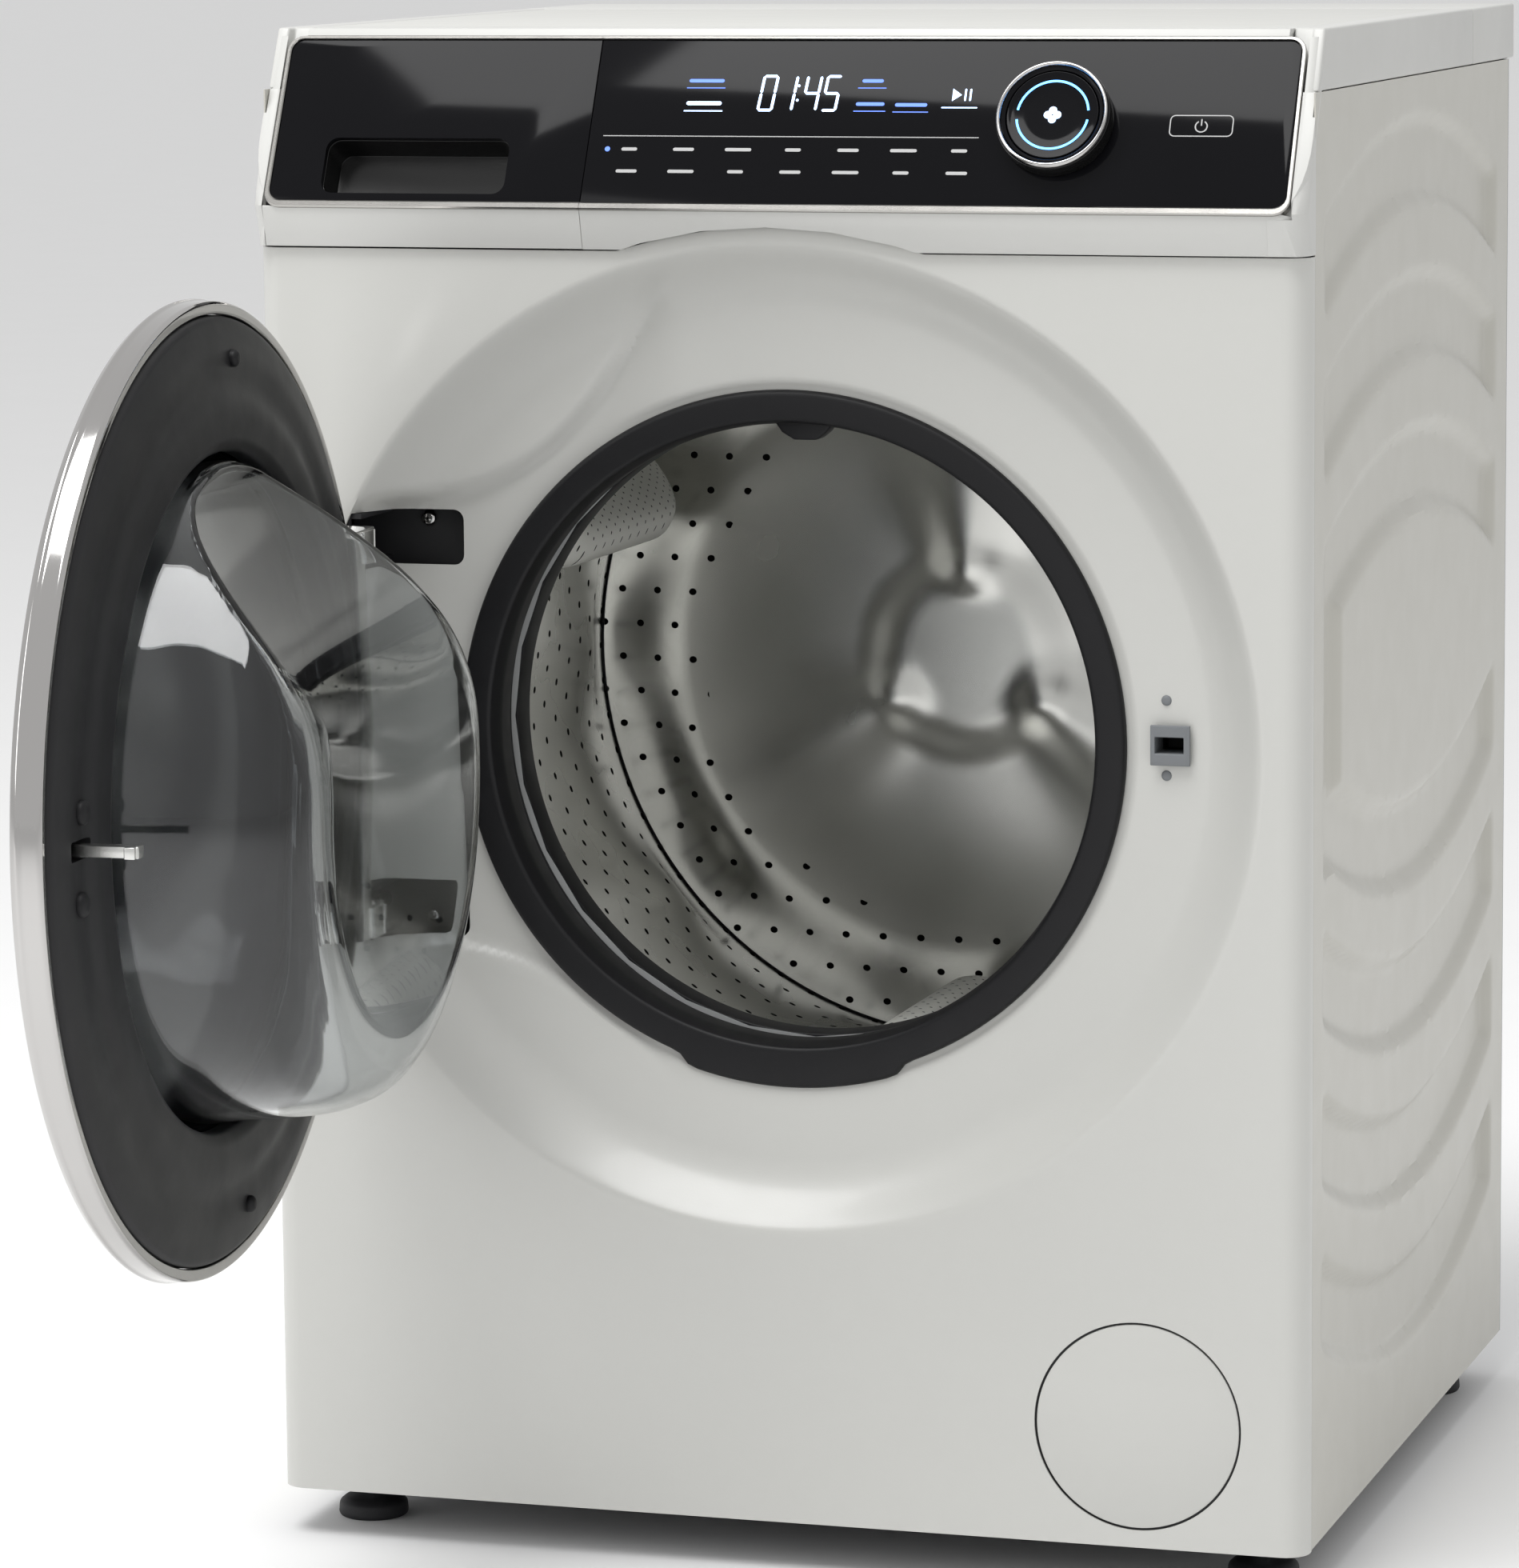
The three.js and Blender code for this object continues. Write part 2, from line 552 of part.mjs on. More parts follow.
function tubFront() {
  return turnedRing([
    [TUB_NECK.r, TUB_NECK.front], [TUB_NECK.outer, TUB_NECK.front], [TUB_NECK.outer, 88], [250, 90],
    [TUB_R, 102], [TUB_R, 238], [TUB_R + 6, 238], [TUB_R + 6, TUB_SPLIT_Y - GAP],
    [TUB_INNER_R, TUB_SPLIT_Y - GAP], [TUB_INNER_R, 106], [246, 96], [TUB_NECK.r, 94]]);
}

function tubRear() {
  const back = 436;
  const shell = turnedRing([
    [TUB_INNER_R, TUB_SPLIT_Y], [TUB_R + 6, TUB_SPLIT_Y], [TUB_R + 6, TUB_SPLIT_Y + 12],
    [TUB_R, TUB_SPLIT_Y + 12], [TUB_R, 424], [250, back + 6], [45, back + 6], [45, 472],
    [BEARING_R + GAP, 472], [BEARING_R + GAP, 448], [21, 448], [21, back], [246, back], [TUB_INNER_R, 420]]);
  const springLug = (side) => box(
    side * SPRING.x - 9, side * SPRING.x + 9, SPRING.y - 9, SPRING.y + 9, AXIS_Z + 100, SPRING.bottomZ);
  const damperLug = (side) => box(
    side * DAMPER.x - 12, side * DAMPER.x + 12, DAMPER.y - 12, DAMPER.y + 12, 214, AXIS_Z - 190);
  const bore = rodBack(TUB_INNER_R + 3, TUB_SPLIT_Y + 5, 420, 0, AXIS_Z, ROUND);
  const lugs = join(springLug(1), springLug(-1), damperLug(1), damperLug(-1)).subtract(bore);
  return cut(
    join(shell, lugs),
    ...[-1, 1].map((side) => rodUp(6.5, 200, 228, side * DAMPER.x, DAMPER.y)),
    ...[-1, 1].map((side) => rodBack(4.8, 400, 460, side * HEATER.halfWidth, HEATER.z)));
}

const HEATER = { halfWidth: 18, z: AXIS_Z - 247, front: 170 };

function heater() {
  const { halfWidth, z, front } = HEATER;
  const path = new THREE.CurvePath();
  const bend = front + halfWidth;
  const leg = (x, y0, y1) => new THREE.LineCurve3(new THREE.Vector3(x, y0, z), new THREE.Vector3(x, y1, z));
  const points = [];
  for (let i = 0; i <= 8; i += 1) {
    const turn = Math.PI * (i / 8);
    points.push(new THREE.Vector3(-halfWidth * Math.cos(turn), bend - halfWidth * Math.sin(turn), z));
  }
  path.add(leg(-halfWidth, 446, bend));
  path.add(new THREE.CatmullRomCurve3(points));
  path.add(leg(halfWidth, bend, 446));
  const shape = new THREE.Shape();
  shape.absarc(0, 0, 4, 0, 2 * Math.PI);
  const tube = solid(new THREE.ExtrudeGeometry(shape, { steps: 18, curveSegments: 4, extrudePath: path }));
  return join(tube, box(-26, 26, 442.4, 448, z - 11, z + 11));
}

function counterweight(from, to) {
  const [inner, outer] = [202, 250];
  const shape = new THREE.Shape();
  shape.absarc(0, AXIS_Z, outer, rad(from), rad(to), false);
  shape.absarc(0, AXIS_Z, inner, rad(to), rad(from), true);
  return slab(shape, 50, 87.5, 6);
}

function motorStator() {
  const teeth = 12;
  const shape = new THREE.Shape();
  for (let i = 0; i < teeth; i += 1) {
    const at = (part, r) => {
      const angle = ((i + part) / teeth) * 2 * Math.PI;
      return [r * Math.cos(angle), AXIS_Z + r * Math.sin(angle)];
    };
    const corners = [at(0, 92), at(0.2, 92), at(0.2, 117), at(0.8, 117), at(0.8, 92)];
    corners.forEach(([x, z], k) => (i === 0 && k === 0 ? shape.moveTo(x, z) : shape.lineTo(x, z)));
  }
  return cut(slab(shape, 442.4, 472), rodBack(62, 440, 480, 0, AXIS_Z, 20));
}

const drumBearing = () => turnedRing([
  [SHAFT_BORE_R, 448.4], [BEARING_R, 448.4], [BEARING_R, 470], [SHAFT_BORE_R, 470]]);

const damperRod = (side) => rodUp(6, 82, 227, side * DAMPER.x, DAMPER.y);

function damperCylinder(side) {
  return cut(
    join(rodUp(13, 33.3, DAMPER.topZ, side * DAMPER.x, DAMPER.y),
      box(side * DAMPER.x - 20, side * DAMPER.x + 20, DAMPER.y - 20, DAMPER.y + 20, 33.3, 38)),
    rodUp(8, 60, DAMPER.topZ + 5, side * DAMPER.x, DAMPER.y));
}

// Helical tension spring hung between the side panel's hanger and the tub lug.
function suspensionSpring(side) {
  const [low, high] = [SPRING.bottomZ + GAP, SPRING.topZ - GAP];
  const [wire, coil, turns] = [2, 12, 5];
  class Helix extends THREE.Curve {
    getPoint(t, target = new THREE.Vector3()) {
      const angle = 2 * Math.PI * turns * t;
      return target.set(
        side * SPRING.x + coil * Math.cos(angle), SPRING.y + coil * Math.sin(angle),
        low + wire + (high - low - 2 * wire) * t);
    }
  }
  const shape = new THREE.Shape();
  shape.absarc(0, 0, wire, 0, 2 * Math.PI);
  return solid(new THREE.ExtrudeGeometry(shape, { steps: 40, curveSegments: 2, extrudePath: new Helix() }));
}

// ---------------------------------------------------------------- drum
const DRUM = { front: 100, back: 408, lip: 183 };

function drumShell() {
  const wall = 2;
  return turnedRing([
    [DRUM.lip, DRUM.front], [DRUM.lip + 5, DRUM.front], [DRUM_R - 8, 104], [DRUM_R, 112],
    [DRUM_R, DRUM.back], [DRUM_R - wall, DRUM.back], [DRUM_R - wall, 113], [DRUM_R - 9, 106],
    [DRUM.lip + 4, 102], [DRUM.lip, 102]]);
}

const drumBack = () => turned([
  [0, DRUM.back - 8], [180, DRUM.back - 8], [226, DRUM.back + GAP], [DRUM_R, DRUM.back + GAP],
  [DRUM_R, DRUM.back + 2.3], [225, DRUM.back + 2.3], [179, DRUM.back - 6], [0, DRUM.back - 6]]);

function drumSpider() {
  const hub = rodBack(34, DRUM.back - 5.6, 430, 0, AXIS_Z);
  const arm = (angle) => solid(new THREE.BoxGeometry(205, 12, 34)
    .translate(112, 418, 0).rotateY(-rad(angle)).translate(0, 0, AXIS_Z));
  return cut(join(hub, arm(90), arm(210), arm(330)), rodBack(SHAFT_BORE_R, 380, 440, 0, AXIS_Z, ROUND));
}

const drumShaft = () => rodBack(SHAFT_R, DRUM.back - 5.5, 502, 0, AXIS_Z, ROUND);

function drumLifter(angle) {
  const seat = DRUM_R - 2.4;
  const section = polygon([[-34, 20], [-20, -34], [-9, -46], [9, -46], [20, -34], [34, 20]]);
  const bar = slab(section, 120, 392).translate([0, 0, seat - 8]).rotate([0, -(angle - 90), 0]);
  return common(bar.translate([0, 0, AXIS_Z]), rodBack(seat, 100, 400, 0, AXIS_Z, ROUND));
}

const motorRotor = () => turnedRing([
  [SHAFT_BORE_R, 474], [28, 474], [28, 476], [121, 476], [121, 446], [126, 446], [126, 480], [30, 480],
  [30, 492], [SHAFT_BORE_R, 492]]);

// ---------------------------------------------------------------- services
function drainPump() {
  const { x, z } = FLAP;
  const body = turned([
    [0, 172], [41, 172], [41, 150], [34.4, 150], [34.4, 16], [42, 16], [42, 20], [38, 20], [38, 146],
    [45, 146],
    [45, 176], [28, 176], [28, 232], [0, 232]], SMALL, x, z);
  const saddle = box(x - 24, x + 24, 50, 130, 33.4, z - 30).subtract(rodBack(36, 40, 140, x, z));
  return join(body, saddle);
}

function filterCap() {
  const { x, z } = FLAP;
  return join(
    rodBack(33.3, 14, 24, x, z),
    rodBack(28, 24, 96, x, z),
    box(x - 26, x + 26, 5, 15, z - 4, z + 4));
}

const filterFlap = () => rodBack(FLAP.r - 0.4, 0, PANEL, FLAP.x, FLAP.z, ROUND);

const inletValve = () => join(
  box(-224, -176, 500, DEPTH - SHEET - GAP, 752, 800),
  rodBack(13, 540, WORKTOP_BACK - 2, -200, 775));

const mainsGland = () => join(
  rodBack(9, DEPTH - 10, DEPTH + 8, 240, 700),
  rodBack(13, DEPTH + GAP, DEPTH + 3, 240, 700));

function levellingFoot(side, y) {
  return upright([[0, 0], [FOOT.r - 1, 0], [FOOT.r, 2], [FOOT.r - 2, 10], [5.9, 13], [5.9, 60], [0, 60]],
    12, side * FOOT.x, y);
}

// ---------------------------------------------------------------- assembly
add('front_panel', frontPanel(), 'white');
add('side_panel_left', sidePanel(-1), 'white');
add('side_panel_right', sidePanel(1), 'white');
add('rear_panel', rearPanel(), 'galvanised');
add('rear_service_cover', rearServiceCover(), 'galvanised');
add('base_tray', baseTray(), 'darkPlastic');
add('worktop_frame', worktopFrame(), 'plasticWhite');
add('worktop_rear_trim', worktopRearTrim(), 'plasticWhite');
add('worktop_board', worktopBoard(), 'white');
add('console_housing', consoleHousing(), 'plasticWhite');
add('fascia_trim', trimFrame(DRAWER_RIGHT + GAP, FASCIA_HALF, true), 'chrome');
add('fascia_glass', onFascia(box(
  DRAWER_RIGHT + GAP, FASCIA_HALF - 4.8, 6.3, FASCIA_LENGTH - 4.5, -3, 0)), 'black');
add('control_board', onFascia(box(-70, 250, 16, 82, -11.5, -9.9)), 'board');
add('knob_face', knobFace(), 'black');
add('program_knob_ring', knobRing(), 'chrome');
add('dispenser_housing', dispenserHousing(), 'tubPlastic');
add('drawer_tray', drawerTray(), 'plasticWhite');
add('drawer_front', drawerFront(), 'plasticWhite');
add('drawer_glass', drawerGlass(), 'black');
add('drawer_trim', trimFrame(-FASCIA_HALF, DRAWER_RIGHT - GAP, false), 'chrome');

add('door_lock_bezel', doorLockBezel(), 'castMetal');
add('door_lock', doorLock(), 'darkPlastic');
add('door_hinge_bracket', hingeBracket(), 'castMetal');
add('door_gasket', doorGasket(), 'rubber');

add('tub_front', tubFront(), 'tubPlastic');
add('tub_rear', tubRear(), 'tubPlastic');
add('counterweight_upper', counterweight(42, 138), 'concrete');
add('counterweight_lower', counterweight(222, 318), 'concrete');
add('motor_stator', motorStator(), 'copper');
add('drum_bearing', drumBearing(), 'steel');
add('water_heater', heater(), 'steel');
for (const [label, side] of [['left', -1], ['right', 1]]) {
  add(`damper_rod_${label}`, damperRod(side), 'steel');
  add(`damper_cylinder_${label}`, damperCylinder(side), 'darkPlastic');
  add(`suspension_spring_${label}`, suspensionSpring(side), 'steel');
  add(`levelling_foot_front_${label}`, levellingFoot(side, FOOT.frontY), 'rubber');
  add(`levelling_foot_rear_${label}`, levellingFoot(side, FOOT.rearY), 'rubber');
}

add('drum_shell', drumShell(), 'steel');
add('drum_back', drumBack(), 'steel');
add('drum_spider', drumSpider(), 'castMetal');
add('drum_shaft', drumShaft(), 'steel');
add('motor_rotor', motorRotor(), 'galvanised');
LIFTER_ANGLES.forEach((angle, i) => add(`drum_lifter_${i + 1}`, drumLifter(angle), 'plasticWhite'));

add('drain_pump', drainPump(), 'darkPlastic');
add('filter_cap', filterCap(), 'plasticWhite');
add('filter_flap', filterFlap(), 'white');
add('inlet_valve', inletValve(), 'plasticWhite');
add('mains_cable_gland', mainsGland(), 'darkPlastic');

addToDoor('door_trim_ring', doorTrimRing(), 'chrome');
addToDoor('door_outer_glass', doorOuterGlass(), 'glass');
addToDoor('door_inner_frame', doorInnerFrame(), 'darkPlastic');
addToDoor('door_bowl', doorBowl(), 'glass');
addToDoor('door_hinge_arm', doorHingeArm(), 'castMetal');
addToDoor('door_hook', doorHook(), 'steel');

const extent = new THREE.Box3().setFromObject(machine);
const middle = extent.getCenter(new THREE.Vector3());
machine.position.set(-middle.x, -middle.y, -extent.min.z);

export default machine;
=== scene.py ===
"""Looks for the front-load washing machine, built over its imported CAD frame.

Pieces are drawn in cabinet millimetres: x = 0 on the centre line, y = 0 on the front
panel, z = 0 on the floor. Door pieces are drawn closed and swung open on the hinge.
Fascia pieces are drawn as (x, distance up the slope, height off it).
"""
import json
import math

import bmesh
import bpy
from mathutils import Matrix, Vector


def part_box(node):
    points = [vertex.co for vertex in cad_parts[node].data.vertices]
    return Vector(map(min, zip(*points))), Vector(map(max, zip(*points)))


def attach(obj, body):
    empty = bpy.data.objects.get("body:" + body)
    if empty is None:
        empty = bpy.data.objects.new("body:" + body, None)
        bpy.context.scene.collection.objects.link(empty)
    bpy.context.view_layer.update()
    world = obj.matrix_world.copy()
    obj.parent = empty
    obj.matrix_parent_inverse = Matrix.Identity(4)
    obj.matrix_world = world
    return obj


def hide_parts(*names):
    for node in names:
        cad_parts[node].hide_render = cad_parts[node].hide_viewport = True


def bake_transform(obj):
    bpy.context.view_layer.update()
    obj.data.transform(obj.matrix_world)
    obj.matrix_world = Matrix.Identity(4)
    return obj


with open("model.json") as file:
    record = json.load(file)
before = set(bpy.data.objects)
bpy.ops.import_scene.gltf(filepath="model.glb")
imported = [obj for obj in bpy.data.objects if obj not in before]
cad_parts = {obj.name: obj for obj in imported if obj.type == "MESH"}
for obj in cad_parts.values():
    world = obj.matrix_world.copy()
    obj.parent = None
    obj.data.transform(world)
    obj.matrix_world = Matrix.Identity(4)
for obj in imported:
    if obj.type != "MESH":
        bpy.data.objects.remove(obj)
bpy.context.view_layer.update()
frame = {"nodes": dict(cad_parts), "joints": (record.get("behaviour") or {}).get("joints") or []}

# ------------------------------------------------------------------ frame and dimensions
MM = 0.001
JOINTS = {joint["name"]: joint for joint in frame["joints"]}
PANEL_LOW, PANEL_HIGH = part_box("front_panel")
CABINET = Matrix.Translation((0, PANEL_LOW.y, 0)) @ Matrix.Scale(MM, 4)


def cabinet_point(metres):
    return CABINET.inverted() @ Vector(metres)


def cabinet_box(node):
    low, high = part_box(node)
    return cabinet_point(low), cabinet_point(high)


HALF = PANEL_HIGH.x / MM
AXIS = cabinet_point(JOINTS["drum_spin"]["pos_m"]).z
BOTTOM = PANEL_LOW.z / MM
SEAM = 731

PIVOT = cabinet_point(JOINTS["door_hinge"]["pos_m"])
OPEN_ANGLE = math.radians(JOINTS["door_hinge"]["range_deg"][1])
SWING = Matrix.Translation(PIVOT) @ Matrix.Rotation(-OPEN_ANGLE, 4, "Z") @ Matrix.Translation(-PIVOT)
DOOR = CABINET @ SWING

# Fascia: the knob's place, the slope's length, the ends, and where the drawer stops.
KNOB_X = 157.3
KNOB_S = 51.7
FASCIA_LENGTH = 102.9
FASCIA_HALF = 289
DRAWER_RIGHT = -105
DRAWER_CLEAR = -cabinet_box("drawer_front")[0].x + 0.4
SLOPE_OUT = Vector(JOINTS["program_knob_turn"]["axis"]).normalized()
SLOPE_UP = SLOPE_OUT.cross(Vector((1, 0, 0)))
KNOB_CENTRE = cabinet_point(JOINTS["program_knob_turn"]["pos_m"])
FASCIA_ORIGIN = KNOB_CENTRE - KNOB_S * SLOPE_UP - Vector((KNOB_X, 0, 0))
ON_SLOPE = Matrix((
    (1, SLOPE_UP.x, SLOPE_OUT.x, FASCIA_ORIGIN.x),
    (0, SLOPE_UP.y, SLOPE_OUT.y, FASCIA_ORIGIN.y),
    (0, SLOPE_UP.z, SLOPE_OUT.z, FASCIA_ORIGIN.z),
    (0, 0, 0, 1)))
FASCIA = CABINET @ ON_SLOPE

# Front: the dish and its port, the door, the panel's corners, the flap, the hinges and the hook.
DISH_RIM = 273
PORT_R = 188
DOOR_R = 256
CORNER_R = 14
WRAP_Y = 16
FLAP = Vector((204, 0, 94.5))
FLAP_R = 57
HINGE_OFFSET = 105
DRUM_R = 238
# The back disc and the lifters sit this far inside the drum's wall.
DRUM_INSET = 1.5
PERFORATED_FROM = 168
HOOK = Vector((217, 0, AXIS + 3))


# ------------------------------------------------------------------ materials
class Nodes:
    """Short calls for wiring up one material."""

    def __init__(self, name):
        self.material = bpy.data.materials.new(name)
        self.material.use_nodes = True
        self.tree = self.material.node_tree
        self.shader = self.tree.nodes["Principled BSDF"]
        self.place = self.tree.nodes.new("ShaderNodeTexCoord").outputs["Object"]

    def wire(self, source, target):
        if hasattr(source, "links"):
            self.tree.links.new(source, target)
        else:
            target.default_value = source

    def math(self, operation, first, second=0.0):
        node = self.tree.nodes.new("ShaderNodeMath")
        node.operation = operation
        self.wire(first, node.inputs[0])
        self.wire(second, node.inputs[1])
        return node.outputs[0]

    def noise(self, scale, detail=3.0, stretch=(1, 1, 1)):
        mapping = self.tree.nodes.new("ShaderNodeMapping")
        mapping.inputs["Scale"].default_value = stretch
        self.wire(self.place, mapping.inputs["Vector"])
        node = self.tree.nodes.new("ShaderNodeTexNoise")
        node.inputs["Scale"].default_value = scale
        node.inputs["Detail"].default_value = detail
        self.wire(mapping.outputs["Vector"], node.inputs["Vector"])
        return node.outputs["Fac"]

    def span(self, value, low, high):
        """A 0 to 1 value spread over low to high."""
        node = self.tree.nodes.new("ShaderNodeMapRange")
        self.wire(value, node.inputs["Value"])
        node.inputs["To Min"].default_value = low
        node.inputs["To Max"].default_value = high
        return node.outputs["Result"]

    def blend(self, factor, first, second):
        node = self.tree.nodes.new("ShaderNodeMix")
        node.data_type = "RGBA"
        self.wire(factor, node.inputs[0])
        self.wire(first, node.inputs[6])
        self.wire(second, node.inputs[7])
        return node.outputs[2]

    def bump(self, height, strength, distance):
        node = self.tree.nodes.new("ShaderNodeBump")
        node.inputs["Strength"].default_value = strength
        node.inputs["Distance"].default_value = distance
        self.wire(height, node.inputs["Height"])
        self.tree.links.new(node.outputs["Normal"], self.shader.inputs["Normal"])


def tone(color, factor):
    return tuple(min(1.0, channel * factor) for channel in color) + (1.0,)


def finish(name, color, gloss, metallic=0.0, wear=0.06, grain=900, depth=0.0001,
           stretch=(1, 1, 1), **sockets):
    """A surface with faint patches of colour, uneven gloss and a fine grain."""
    nodes = Nodes(name)
    patches = nodes.noise(7)
    smears = nodes.noise(38, detail=4.0)
    mottled = nodes.blend(patches, tone(color, 1 - wear), tone(color, 1 + wear))
    nodes.wire(mottled, nodes.shader.inputs["Base Color"])
    nodes.wire(nodes.span(smears, gloss * 0.8, gloss * 1.25), nodes.shader.inputs["Roughness"])
    nodes.shader.inputs["Metallic"].default_value = metallic
    nodes.bump(nodes.noise(grain, stretch=stretch), 0.25, depth)
    for socket, value in sockets.items():
        nodes.shader.inputs[socket.replace("_", " ")].default_value = value
    return nodes.material


def glass(name, color, gloss, depth):
    """Clear moulded glass with slow waviness and faint smears."""
    nodes = Nodes(name)
    smears = nodes.noise(16, detail=5.0)
    nodes.wire(nodes.blend(smears, tone(color, 0.96), tone(color, 1.0)), nodes.shader.inputs["Base Color"])
    nodes.wire(nodes.span(smears, gloss * 0.5, gloss * 1.5), nodes.shader.inputs["Roughness"])
    nodes.shader.inputs["Transmission Weight"].default_value = 1.0
    nodes.shader.inputs["IOR"].default_value = 1.47
    nodes.bump(nodes.noise(9), 0.2, depth)
    return nodes.material


def glow(name, color, strength):
    """A light guide behind the glass, a little uneven along its length."""
    nodes = Nodes(name)
    uneven = nodes.noise(220)
    nodes.wire(nodes.blend(uneven, tone(color, 0.8), tone(color, 1.0)), nodes.shader.inputs["Emission Color"])
    nodes.shader.inputs["Emission Strength"].default_value = strength
    nodes.shader.inputs["Base Color"].default_value = tone(color, 0.3)
    nodes.wire(nodes.span(uneven, 0.3, 0.5), nodes.shader.inputs["Roughness"])
    return nodes.material


ROW_SPACING = 0.87
# Added to both lengths so that they stay above zero, where the rows repeat evenly.
PATTERN_SHIFT = 1.0


def hole_pattern(nodes, along, across, pitch, hole):
    """1 inside staggered round holes, 0 between them; along and across are lengths in metres."""
    def square(value):
        return nodes.math("POWER", nodes.math("ABSOLUTE", value), 2.0)

    column = nodes.math("DIVIDE", along, pitch)
    row = nodes.math("DIVIDE", across, pitch * ROW_SPACING)
    odd = nodes.math("MODULO", nodes.math("FLOOR", row), 2.0)
    column = nodes.math("ADD", column, nodes.math("MULTIPLY", odd, 0.5))
    du = nodes.math("SUBTRACT", nodes.math("FRACT", column), 0.5)
    dv = nodes.math("SUBTRACT", nodes.math("FRACT", row), 0.5)
    distance = nodes.math("SQRT", nodes.math("ADD", square(du), square(dv)))
    return nodes.math("LESS_THAN", distance, hole / pitch)


def perforated(name, color, gloss, metallic, pitch, hole, layout):
    """Sheet or moulding with rows of drain holes, coloured near black: painted shade of the dark space behind
    them.

    The holes lie round the drum on a "wall", flat across a "disc", or along a lifter on a "paddle".
    """
    nodes = Nodes(name)
    parts = nodes.tree.nodes.new("ShaderNodeSeparateXYZ")
    nodes.wire(nodes.place, parts.inputs[0])
    x, y, z = parts.outputs
    up = nodes.math("SUBTRACT", z, AXIS * MM)
    if layout == "wall":
        around = nodes.math("MULTIPLY", nodes.math("ARCTAN2", up, x), DRUM_R * MM)
    elif layout == "disc":
        around = x
    else:
        around = nodes.math("SUBTRACT", up, x)
    second = up if layout == "disc" else y
    along = nodes.math("ADD", around, 2 * PATTERN_SHIFT)
    across = nodes.math("ADD", second, PATTERN_SHIFT)
    holes = hole_pattern(nodes, along, across, pitch, hole)
    if layout == "disc":
        squares = nodes.math("ADD", nodes.math("MULTIPLY", x, x), nodes.math("MULTIPLY", up, up))
        radius = nodes.math("SQRT", squares)
        holes = nodes.math("MULTIPLY", holes, nodes.math("GREATER_THAN", radius, PERFORATED_FROM * MM))
    patches = nodes.noise(9)
    metal = nodes.blend(patches, tone(color, 0.95), tone(color, 1.03))
    # The holes get near-black colour: painted shade seen through them, not cut openings.
    nodes.wire(nodes.blend(holes, metal, (0.01, 0.01, 0.01, 1.0)), nodes.shader.inputs["Base Color"])
    brushed = nodes.span(nodes.noise(24, detail=1.0), gloss * 0.9, gloss * 1.15)
    dulled = nodes.math("MAXIMUM", brushed, nodes.math("MULTIPLY", holes, 0.8))
    nodes.wire(dulled, nodes.shader.inputs["Roughness"])
    nodes.shader.inputs["Metallic"].default_value = metallic
    nodes.bump(nodes.math("MULTIPLY", holes, -1.0), 0.6, 0.0015)
    return nodes.material


WHITE_PAINT = finish("white_paint", (0.55, 0.55, 0.525), 0.32, wear=0.015,
                     Coat_Weight=0.2, Coat_Roughness=0.12)
# The side panels wear a darker, slightly yellower copy of the front's white paint: painted shade on the sides
# turned from the light.
SHADED_SIDE_PAINT = finish("shaded_side_paint", (0.5, 0.49, 0.445), 0.36, wear=0.015,
                    Coat_Weight=0.15, Coat_Roughness=0.2)
WHITE_PLASTIC = finish("white_plastic", (0.56, 0.56, 0.54), 0.36, wear=0.015)
TOP_BOARD = finish("top_laminate", (0.56, 0.56, 0.535), 0.4, wear=0.02, grain=500)
BLACK_GLASS = finish("black_glass", (0.004, 0.004, 0.005), 0.07, wear=0.2, grain=30, depth=0.00001,
                     Specular_IOR_Level=0.12)
# Near black: the knob grip band's own colour, and painted shade in the drawer's grip recess and the hinge
# screws' slots.
BLACK_AND_PAINTED_SHADE = finish("black_and_painted_shade", (0.006, 0.006, 0.006), 0.2, wear=0.3)
DOOR_PLASTIC = finish("door_frame_plastic", (0.012, 0.012, 0.013), 0.45, wear=0.1, Specular_IOR_Level=0.3)
DARK_PLASTIC = finish("dark_plastic", (0.02, 0.02, 0.022), 0.5, wear=0.15)
RUBBER = finish("rubber", (0.006, 0.006, 0.007), 0.5, wear=0.25, grain=1400, depth=0.0002,
                Specular_IOR_Level=0.3)
PAD_RUBBER = finish("foot_rubber", (0.01, 0.01, 0.012), 0.6, wear=0.3, grain=1400, depth=0.0003)
CHROME = finish("chrome", (0.52, 0.51, 0.5), 0.08, metallic=1.0, wear=0.03, grain=60, depth=0.00002)
TRIM_CHROME = finish("trim_chrome", (0.42, 0.41, 0.39), 0.2, metallic=1.0, wear=0.04, grain=90)
GREY_PLASTIC = finish("grey_plastic", (0.17, 0.18, 0.19), 0.45, wear=0.08)
BRIGHT_STEEL = finish("bright_steel", (0.68, 0.68, 0.66), 0.24, metallic=1.0, wear=0.06,
                      grain=300, stretch=(1, 14, 1))
GALVANISED = finish("galvanised", (0.42, 0.44, 0.45), 0.42, metallic=0.9, wear=0.18,
                    grain=140, depth=0.0002)
CAST_METAL = finish("cast_metal", (0.32, 0.33, 0.34), 0.55, metallic=0.8, wear=0.15,
                    grain=600, depth=0.0006)
TUB_PLASTIC = finish("tub_plastic", (0.45, 0.46, 0.46), 0.5, wear=0.06, grain=700, depth=0.0003)
CONCRETE = finish("concrete", (0.28, 0.28, 0.265), 0.9, wear=0.2, grain=260, depth=0.0015)
COPPER = finish("copper_windings", (0.5, 0.2, 0.1), 0.35, metallic=0.9, wear=0.2, grain=400, depth=0.0004)
BOARD_GREEN = finish("circuit_board", (0.02, 0.1, 0.05), 0.5, wear=0.25, grain=300, depth=0.0003)
DARK_DOOR_GLASS = finish("dark_door_glass", (0.014, 0.015, 0.018), 0.08, wear=0.15, grain=30, depth=0.00001,
                         Specular_IOR_Level=0.2)
BOWL_GLASS = glass("bowl_glass", (0.84, 0.86, 0.87), 0.02, 0.0006)
